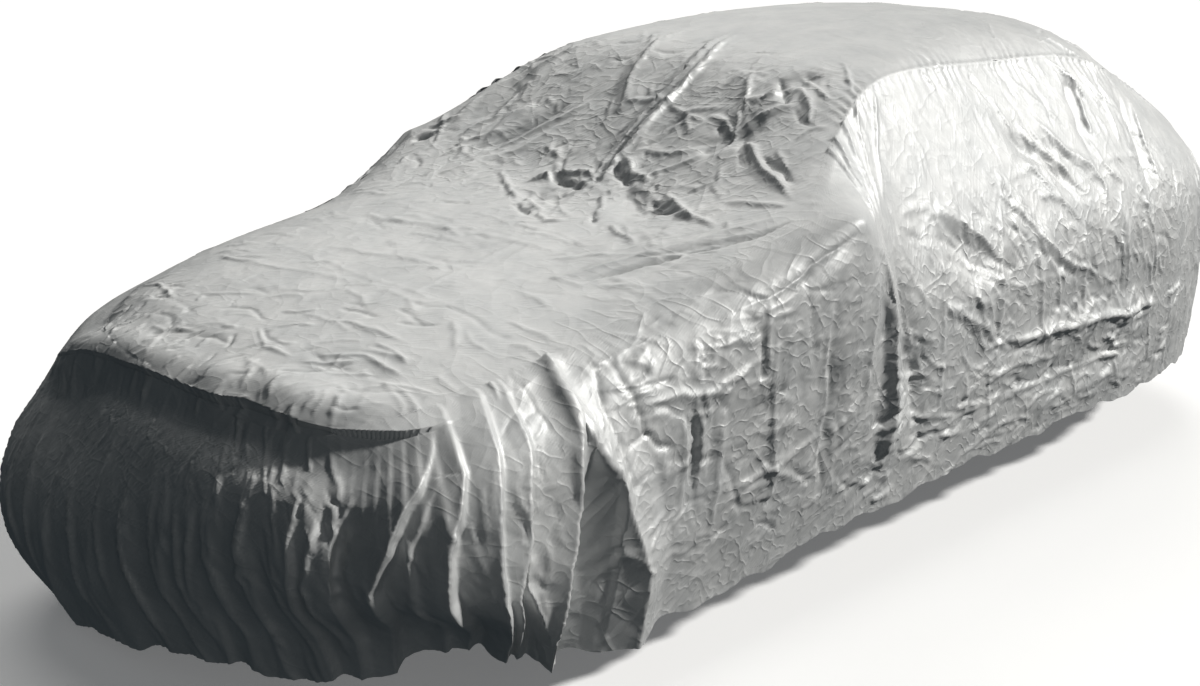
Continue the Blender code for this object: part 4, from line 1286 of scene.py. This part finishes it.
def smoothed(grids):
    """The bare shape with its front and rear edges and its seams rounded off."""
    rows = np.arange(grids[0].shape[0])[:, None]
    columns = np.arange(grids[0].shape[1])[None, :]
    edge = np.minimum(np.abs(rows - DOWN), np.abs(rows - DOWN - ALONG))
    seam = np.minimum(columns, ACROSS - columns)
    ends = smooth_step(1.5 * (1.0 - edge / EDGE_REACH))
    top = np.maximum(ends, smooth_step(1.0 - seam / SEAM_REACH))
    rows = np.arange(DOWN + 1)[:, None]
    columns = np.arange(ALONG + 1)[None, :]
    seam = np.minimum(rows, np.minimum(columns, ALONG - columns))
    side = smooth_step(1.0 - seam / SEAM_REACH)
    for _ in range(EDGE_SMOOTHING):
        for index, mask in enumerate((top, side, side)):
            grids[index] = grids[index] + mask[..., None] * (evened(grids[index]) - grids[index])
        join_seams(grids, 1, 1.0)
    return grids


def draped_grids(settings):
    """The three panels with all their folds and creases."""
    panels = even_panels()
    walls = [panel.on_wall for panel in panels]
    rises = [main_rise(panel) + front_edge_rise(panel.points) for panel in panels]
    creases = [settings.crease_depth * crease_rise(panel) for panel in panels]
    inwards = [room_inwards(panel) for panel in panels]
    grids = smoothed([panel.points for panel in panels])
    grids = pressed(grids, normals_of(grids), rises, walls)
    grids = settled(grids, normals_of(grids), inwards, settings.slack)
    seams = seam_rise(panels, grids)
    both = [crease + seam for crease, seam in zip(creases, seams)]
    return pressed(grids, normals_of(grids), both, walls)


def stitch_ways(grids):
    """For every point, how far it is from a line of stitches, and how far along that line."""
    found = []
    for index, (grid, (off, along)) in enumerate(zip(grids, seam_ways(grids))):
        off = np.abs(off - STITCH_FROM_SEAM)
        hems = [(way_down(grid[::-1])[::-1], way_along(grid[-1]))]
        if index == 0:
            hems.append((way_down(grid), way_along(grid[0])))
        for up, hem_along in hems:
            hem_off = np.abs(up - HEM_TURN)
            along = np.where(hem_off < off, hem_along[None, :], along)
            off = np.minimum(off, hem_off)
        found.append((off, along))
    return found


def turned_hem(grid, normal, *fields):
    """A grid, and all that goes with it, with two more rows that turn its last one in."""
    edge = grid[-1:]
    out = normal[-1:]
    up = grid[-4:-3] - edge
    up = up / np.linalg.norm(up, axis=-1, keepdims=True)
    inside = edge - HEM_THICKNESS * out
    points = np.concatenate((grid, inside, inside + HEM_TURN * up))
    normals = np.concatenate((normal, -up, -out))
    return points, normals, *[np.concatenate((field, field[-1:], field[-1:])) for field in fields]


def crumple_of(points):
    """How finely crumpled the cloth is at each point, from 0 to 1."""
    amount = np.full(points.shape[:-1], EVEN_CRUMPLE)
    for middle, half, more in CRUMPLE_ZONES:
        amount += (more - EVEN_CRUMPLE) * inside_zone(points, middle, half, 2.0)
    return np.clip(amount, 0.0, 1.0)


def cloth_piece(name, grid, normal, fields, material):
    """A piece from a grid of points, with its normals and its point attributes."""
    rows, columns = grid.shape[:2]
    points = grid.reshape(-1, 3).copy()
    points[:, 2] -= REST_HEIGHT
    number = np.arange(rows * columns).reshape(rows, columns)
    faces = np.stack((number[:-1, :-1], number[:-1, 1:], number[1:, 1:], number[1:, :-1]), axis=-1)
    faces = faces.reshape(-1, 4)
    middle = (rows // 2, columns // 2)
    one = grid[middle]
    facing = np.cross(grid[middle[0], middle[1] + 1] - one, grid[middle[0] + 1, middle[1]] - one)
    if facing @ normal[middle] < 0.0:
        faces = faces[:, ::-1]
    mesh = bpy.data.meshes.new(name)
    mesh.vertices.add(len(points))
    mesh.vertices.foreach_set("co", points.astype(np.float32).ravel())
    mesh.loops.add(faces.size)
    mesh.loops.foreach_set("vertex_index", faces.ravel().astype(np.int32))
    mesh.polygons.add(len(faces))
    mesh.polygons.foreach_set("loop_start", np.arange(0, faces.size, 4, dtype=np.int32))
    mesh.update(calc_edges=True)
    mesh.shade_smooth()
    mesh.normals_split_custom_set_from_vertices(normal.reshape(-1, 3).astype(np.float32))
    for field_name, field in zip((CRUMPLE, FROM_STITCHES, ALONG_STITCHES), fields):
        attribute = mesh.attributes.new(field_name, "FLOAT", "POINT")
        attribute.data.foreach_set("value", np.ascontiguousarray(field, dtype=np.float32).ravel())
    mesh.materials.append(material)
    piece = bpy.data.objects.new(name, mesh)
    bpy.context.scene.collection.objects.link(piece)
    return piece


class NodeMaker:
    """Adds nodes to a material, with short names for the ones used here."""

    def __init__(self, material):
        material.use_nodes = True
        self.nodes = material.node_tree.nodes
        self.links = material.node_tree.links
        self.shader = self.nodes["Principled BSDF"]

    def fill(self, socket, value):
        """Links a socket to another one, or sets it."""
        if isinstance(value, bpy.types.NodeSocket):
            self.links.new(value, socket)
        else:
            socket.default_value = value

    def add(self, kind, **inputs):
        """A node with its inputs filled; _ in a name stands for a space."""
        node = self.nodes.new(kind)
        for key, value in inputs.items():
            self.fill(node.inputs[key.replace("_", " ")], value)
        return node

    def worked_out(self, kind, operation, values):
        """A node that works out its values."""
        node = self.nodes.new(kind)
        node.operation = operation
        for socket, value in zip(node.inputs, values):
            self.fill(socket, value)
        return node.outputs

    def math(self, operation, *values):
        return self.worked_out("ShaderNodeMath", operation, values)["Value"]

    def vectors(self, operation, *values):
        return self.worked_out("ShaderNodeVectorMath", operation, values)["Vector"]

    def noise(self, place, scale, detail, roughness):
        inputs = {"Scale": scale, "Detail": detail, "Roughness": roughness}
        return self.add("ShaderNodeTexNoise", Vector=place, **inputs).outputs["Fac"]

    def ranged(self, value, low, high, first, last):
        inputs = {"From Min": low, "From Max": high, "To Min": first, "To Max": last}
        return self.add("ShaderNodeMapRange", Value=value, **inputs).outputs["Result"]

    def ramp(self, value, low, dark, high, light):
        node = self.add("ShaderNodeValToRGB", Fac=value)
        node.color_ramp.elements[0].position = low
        node.color_ramp.elements[0].color = (*dark, 1.0)
        node.color_ramp.elements[1].position = high
        node.color_ramp.elements[1].color = (*light, 1.0)
        return node.outputs["Color"]

    def attribute(self, name):
        node = self.nodes.new("ShaderNodeAttribute")
        node.attribute_name = name
        return node.outputs["Fac"]

    def bump(self, height):
        node = self.add("ShaderNodeBump", Height=height, Distance=1.0, Strength=1.0)
        return node.outputs["Normal"]


def silver_cloth(name, settings):
    """Silver-coated cloth: satin, faintly uneven in colour, with fine crumples, weave and stitches."""
    material = bpy.data.materials.new(name)
    make = NodeMaker(material)
    shader = make.shader
    shader.inputs["Metallic"].default_value = settings.metallic
    shader.inputs["Specular IOR Level"].default_value = SPECULAR_LEVEL
    place = make.nodes.new("ShaderNodeTexCoord").outputs["Object"]
    crumple = make.attribute(CRUMPLE)

    # the coating, a little darker in patches and rubbed in fine specks
    patches = make.noise(place, *PATCH_NOISE)
    colour = make.ramp(patches, 0.35, settings.dark_colour, 0.65, settings.light_colour)
    make.links.new(colour, shader.inputs["Base Color"])
    smoother = settings.roughness - SPECK_SMOOTHER
    rougher = settings.roughness + SPECK_ROUGHER
    gloss = make.ranged(make.noise(place, *SPECK_NOISE), 0.3, 0.7, smoother, rougher)
    make.links.new(gloss, shader.inputs["Roughness"])

    # small crumples: flat facets, and wrinkles that run between them
    warp = make.add("ShaderNodeTexNoise", Vector=place, Scale=WARP_SCALE, Detail=3.0)
    spread = make.vectors("MULTIPLY", warp.outputs["Color"], (WARP_SPREAD,) * 3)
    warped = make.vectors("ADD", place, spread)
    tilts = None
    for scale, tilt in FACETS:
        cells = make.add("ShaderNodeTexVoronoi", Vector=warped, Scale=scale)
        turned = make.vectors("SUBTRACT", cells.outputs["Color"], (0.5, 0.5, 0.5))
        turned = make.vectors("MULTIPLY", turned, (tilt,) * 3)
        tilts = make.vectors("ADD", tilts, turned) if tilts else turned
    depth = make.math("MULTIPLY", crumple, settings.crumple_depth)
    tilts = make.vectors("MULTIPLY", tilts, depth)
    height = None
    for scale, turn, lengths, thin, rise in WRINKLES:
        drawn_out = make.add("ShaderNodeMapping", Vector=warped, Rotation=turn, Scale=lengths)
        drawn_out.vector_type = "TEXTURE"
        spot = drawn_out.outputs["Vector"]
        off = make.math("ABSOLUTE", make.math("SUBTRACT", make.noise(spot, scale, 1.0, 0.5), 0.5))
        crest = make.math("SUBTRACT", 1.0, make.math("MINIMUM", make.math("MULTIPLY", off, thin), 1.0))
        crest = make.math("MULTIPLY", make.math("POWER", crest, WRINKLE_CREST), rise)
        height = make.math("ADD", height, crest) if height else crest
    height = make.math("MULTIPLY", height, depth)

    # stitches along the seams and the hem, and the weave under the coating
    near = make.math("LESS_THAN", make.attribute(FROM_STITCHES), STITCH_HALF_WIDTH)
    beat = make.math("FRACT", make.math("DIVIDE", make.attribute(ALONG_STITCHES), STITCH_LENGTH))
    thread = make.math("MULTIPLY", near, make.math("LESS_THAN", beat, STITCH_SHARE))
    height = make.math("ADD", height, make.math("MULTIPLY", thread, STITCH_HEIGHT))
    weave = make.math("MULTIPLY", make.noise(place, WEAVE_SCALE, 1.0, 0.5), WEAVE_HEIGHT)
    height = make.math("ADD", height, weave)
    normal = make.vectors("NORMALIZE", make.vectors("ADD", make.bump(height), tilts))
    make.links.new(normal, shader.inputs["Normal"])
    return material


def make_camera():
    """The camera at the photograph's viewing angle."""
    heading = CAMERA_HEADING
    level = math.cos(CAMERA_PITCH)
    forward = Vector((-math.sin(heading) * level, math.cos(heading) * level, -math.sin(CAMERA_PITCH)))
    right = Vector((math.cos(heading), math.sin(heading), 0.0))
    up = right.cross(forward)
    rolled_right = right * math.cos(CAMERA_ROLL) + up * math.sin(CAMERA_ROLL)
    rolled_up = up * math.cos(CAMERA_ROLL) - right * math.sin(CAMERA_ROLL)
    data = bpy.data.cameras.new("camera")
    data.sensor_width = SENSOR
    data.lens = CAMERA_FOCAL / FRAME_WIDTH * SENSOR
    camera = bpy.data.objects.new("camera", data)
    matrix = Matrix((rolled_right, rolled_up, -forward)).transposed().to_4x4()
    matrix.translation = Vector(CAMERA_PLACE) - Vector((0.0, 0.0, REST_HEIGHT))
    camera.matrix_world = matrix
    bpy.context.scene.collection.objects.link(camera)
    bpy.context.scene.camera = camera


def make_floor(colour):
    """A plain pale floor under the hem."""
    mesh = bpy.data.meshes.new("floor")
    ends = (-FLOOR_SIZE, FLOOR_SIZE)
    corners = [(x, y, -REST_HEIGHT) for y in ends for x in ends]
    mesh.from_pydata(corners, [], [(0, 1, 3, 2)])
    floor = bpy.data.objects.new("floor", mesh)
    bpy.context.scene.collection.objects.link(floor)
    material = bpy.data.materials.new("pale_floor")
    make = NodeMaker(material)
    make.shader.inputs["Base Color"].default_value = (*colour, 1.0)
    make.shader.inputs["Roughness"].default_value = FLOOR_ROUGHNESS
    make.shader.inputs["Emission Color"].default_value = (*colour, 1.0)
    make.shader.inputs["Emission Strength"].default_value = FLOOR_GLOW
    mesh.materials.append(material)
    floor.visible_diffuse = False
    floor.visible_glossy = False


def make_lamp(name, energy, angle, way):
    """A soft lamp far off, shining along way."""
    light = bpy.data.lights.new(name, "SUN")
    light.energy = energy
    light.angle = angle
    light.color = LAMP_COLOUR
    lamp = bpy.data.objects.new(name, light)
    lamp.rotation_euler = Vector(way).to_track_quat("-Z", "Y").to_euler()
    bpy.context.scene.collection.objects.link(lamp)


class CoverClothSettings(bpy.types.PropertyGroup):
    """Sizes and colours of the cover's cloth."""

    slack: bpy.props.FloatProperty(
        name="Spare cloth",
        description="How much longer the cloth is than what it lies on, as a share of the shown cover's",
        default=1.0,
        min=0.0,
        max=2.0,
        subtype="FACTOR",
    )
    crease_depth: bpy.props.FloatProperty(
        name="Crease depth",
        description="Depth of the creases, as a share of the shown cover's",
        default=1.0,
        min=0.0,
        max=2.0,
        subtype="FACTOR",
    )
    crumple_depth: bpy.props.FloatProperty(
        name="Crumple depth",
        description="Depth of the small crumples, as a share of the shown cover's",
        default=1.0,
        min=0.0,
        max=2.0,
        subtype="FACTOR",
    )
    light_colour: bpy.props.FloatVectorProperty(
        name="Light colour",
        description="The silver coating where it is clean",
        default=(0.68, 0.685, 0.68),
        min=0.0,
        max=1.0,
        subtype="COLOR",
    )
    dark_colour: bpy.props.FloatVectorProperty(
        name="Dark colour",
        description="The silver coating where it is duller",
        default=(0.59, 0.60, 0.60),
        min=0.0,
        max=1.0,
        subtype="COLOR",
    )
    metallic: bpy.props.FloatProperty(
        name="Metallic",
        description="How metallic the coating looks",
        default=0.40,
        min=0.0,
        max=1.0,
        subtype="FACTOR",
    )
    roughness: bpy.props.FloatProperty(
        name="Roughness",
        description="Roughness of the coating",
        default=0.60,
        min=0.05,
        max=0.9,
        subtype="FACTOR",
    )


class CoverStageSettings(bpy.types.PropertyGroup):
    """Floor and light round the cover."""

    floor_colour: bpy.props.FloatVectorProperty(
        name="Floor colour",
        description="Colour of the floor",
        default=(0.95, 0.95, 0.95),
        min=0.0,
        max=1.0,
        subtype="COLOR",
    )
    key_energy: bpy.props.FloatProperty(
        name="Key light",
        description="Strength of the main light",
        default=3.5,
        min=0.0,
        max=20.0,
    )
    key_angle: bpy.props.FloatProperty(
        name="Key softness",
        description="How wide the main light is, seen from the cover",
        default=math.radians(5.0),
        min=0.0,
        max=math.pi,
        unit="ROTATION",
        subtype="ANGLE",
    )
    sky_colour: bpy.props.FloatVectorProperty(
        name="Room light colour",
        description="Colour of the even light from all round",
        default=(0.66, 0.86, 1.0),
        min=0.0,
        max=1.0,
        subtype="COLOR",
    )
    sky_strength: bpy.props.FloatProperty(
        name="Room light",
        description="Strength of the even light from all round",
        default=0.035,
        min=0.0,
        max=2.0,
    )


class COVER_OT_make_cloth(bpy.types.Operator):
    """Drape, settle and crease the cover's three panels and give them their silver cloth"""

    bl_idname = "cover.make_cloth"
    bl_label = "Make the cloth panels"

    def execute(self, context):
        settings = context.scene.cover_cloth
        grids = draped_grids(settings)
        normals = normals_of(grids)
        stitches = stitch_ways(grids)
        parts = {}
        for name, node, rows, step in PIECES:
            panel = PANEL_NODES.index(node)
            fields = (crumple_of(grids[panel]), *stitches[panel])
            values = [value[rows][::step] for value in (grids[panel], normals[panel], *fields)]
            grid, normal, *fields = [value[::step] for value in turned_hem(*values)]
            parts[name] = cloth_piece(name, grid, normal, fields, silver_cloth(name, settings))
            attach(parts[name], "root")
            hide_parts(node)
        return {"FINISHED"}


class COVER_OT_make_stage(bpy.types.Operator):
    """Set up the floor, the light and the camera round the cover"""

    bl_idname = "cover.make_stage"
    bl_label = "Make the stage"

    def execute(self, context):
        settings = context.scene.cover_stage
        make_floor(settings.floor_colour)
        make_lamp("key", settings.key_energy, settings.key_angle, KEY_WAY)
        for name, energy, degrees, way in FILL_LAMPS:
            make_lamp(name, energy, math.radians(degrees), way)
        world = bpy.data.worlds.new("room")
        world.use_nodes = True
        background = world.node_tree.nodes["Background"]
        background.inputs["Color"].default_value = (*settings.sky_colour, 1.0)
        background.inputs["Strength"].default_value = settings.sky_strength
        context.scene.world = world
        context.scene.view_settings.view_transform = "Standard"
        make_camera()
        return {"FINISHED"}


class COVER_PT_sidebar(bpy.types.Panel):
    """Lists the steps that make the cover"""

    bl_idname = "COVER_PT_sidebar"
    bl_label = "Car cover"
    bl_space_type = "VIEW_3D"
    bl_region_type = "UI"
    bl_category = "Cover"

    def draw(self, context):
        for settings in (context.scene.cover_cloth, context.scene.cover_stage):
            for name in settings.__annotations__:
                self.layout.prop(settings, name)
        for operator in OPERATORS:
            self.layout.operator(operator.bl_idname)


OPERATORS = (COVER_OT_make_cloth, COVER_OT_make_stage)
CLASSES = (CoverClothSettings, CoverStageSettings, *OPERATORS, COVER_PT_sidebar)


def register():
    for item in CLASSES:
        bpy.utils.register_class(item)
    bpy.types.Scene.cover_cloth = bpy.props.PointerProperty(type=CoverClothSettings)
    bpy.types.Scene.cover_stage = bpy.props.PointerProperty(type=CoverStageSettings)


def unregister():
    del bpy.types.Scene.cover_stage
    del bpy.types.Scene.cover_cloth
    for item in reversed(CLASSES):
        bpy.utils.unregister_class(item)


def main():
    register()
    bpy.ops.cover.make_cloth()
    bpy.ops.cover.make_stage()


if __name__ == "__main__":
    main()
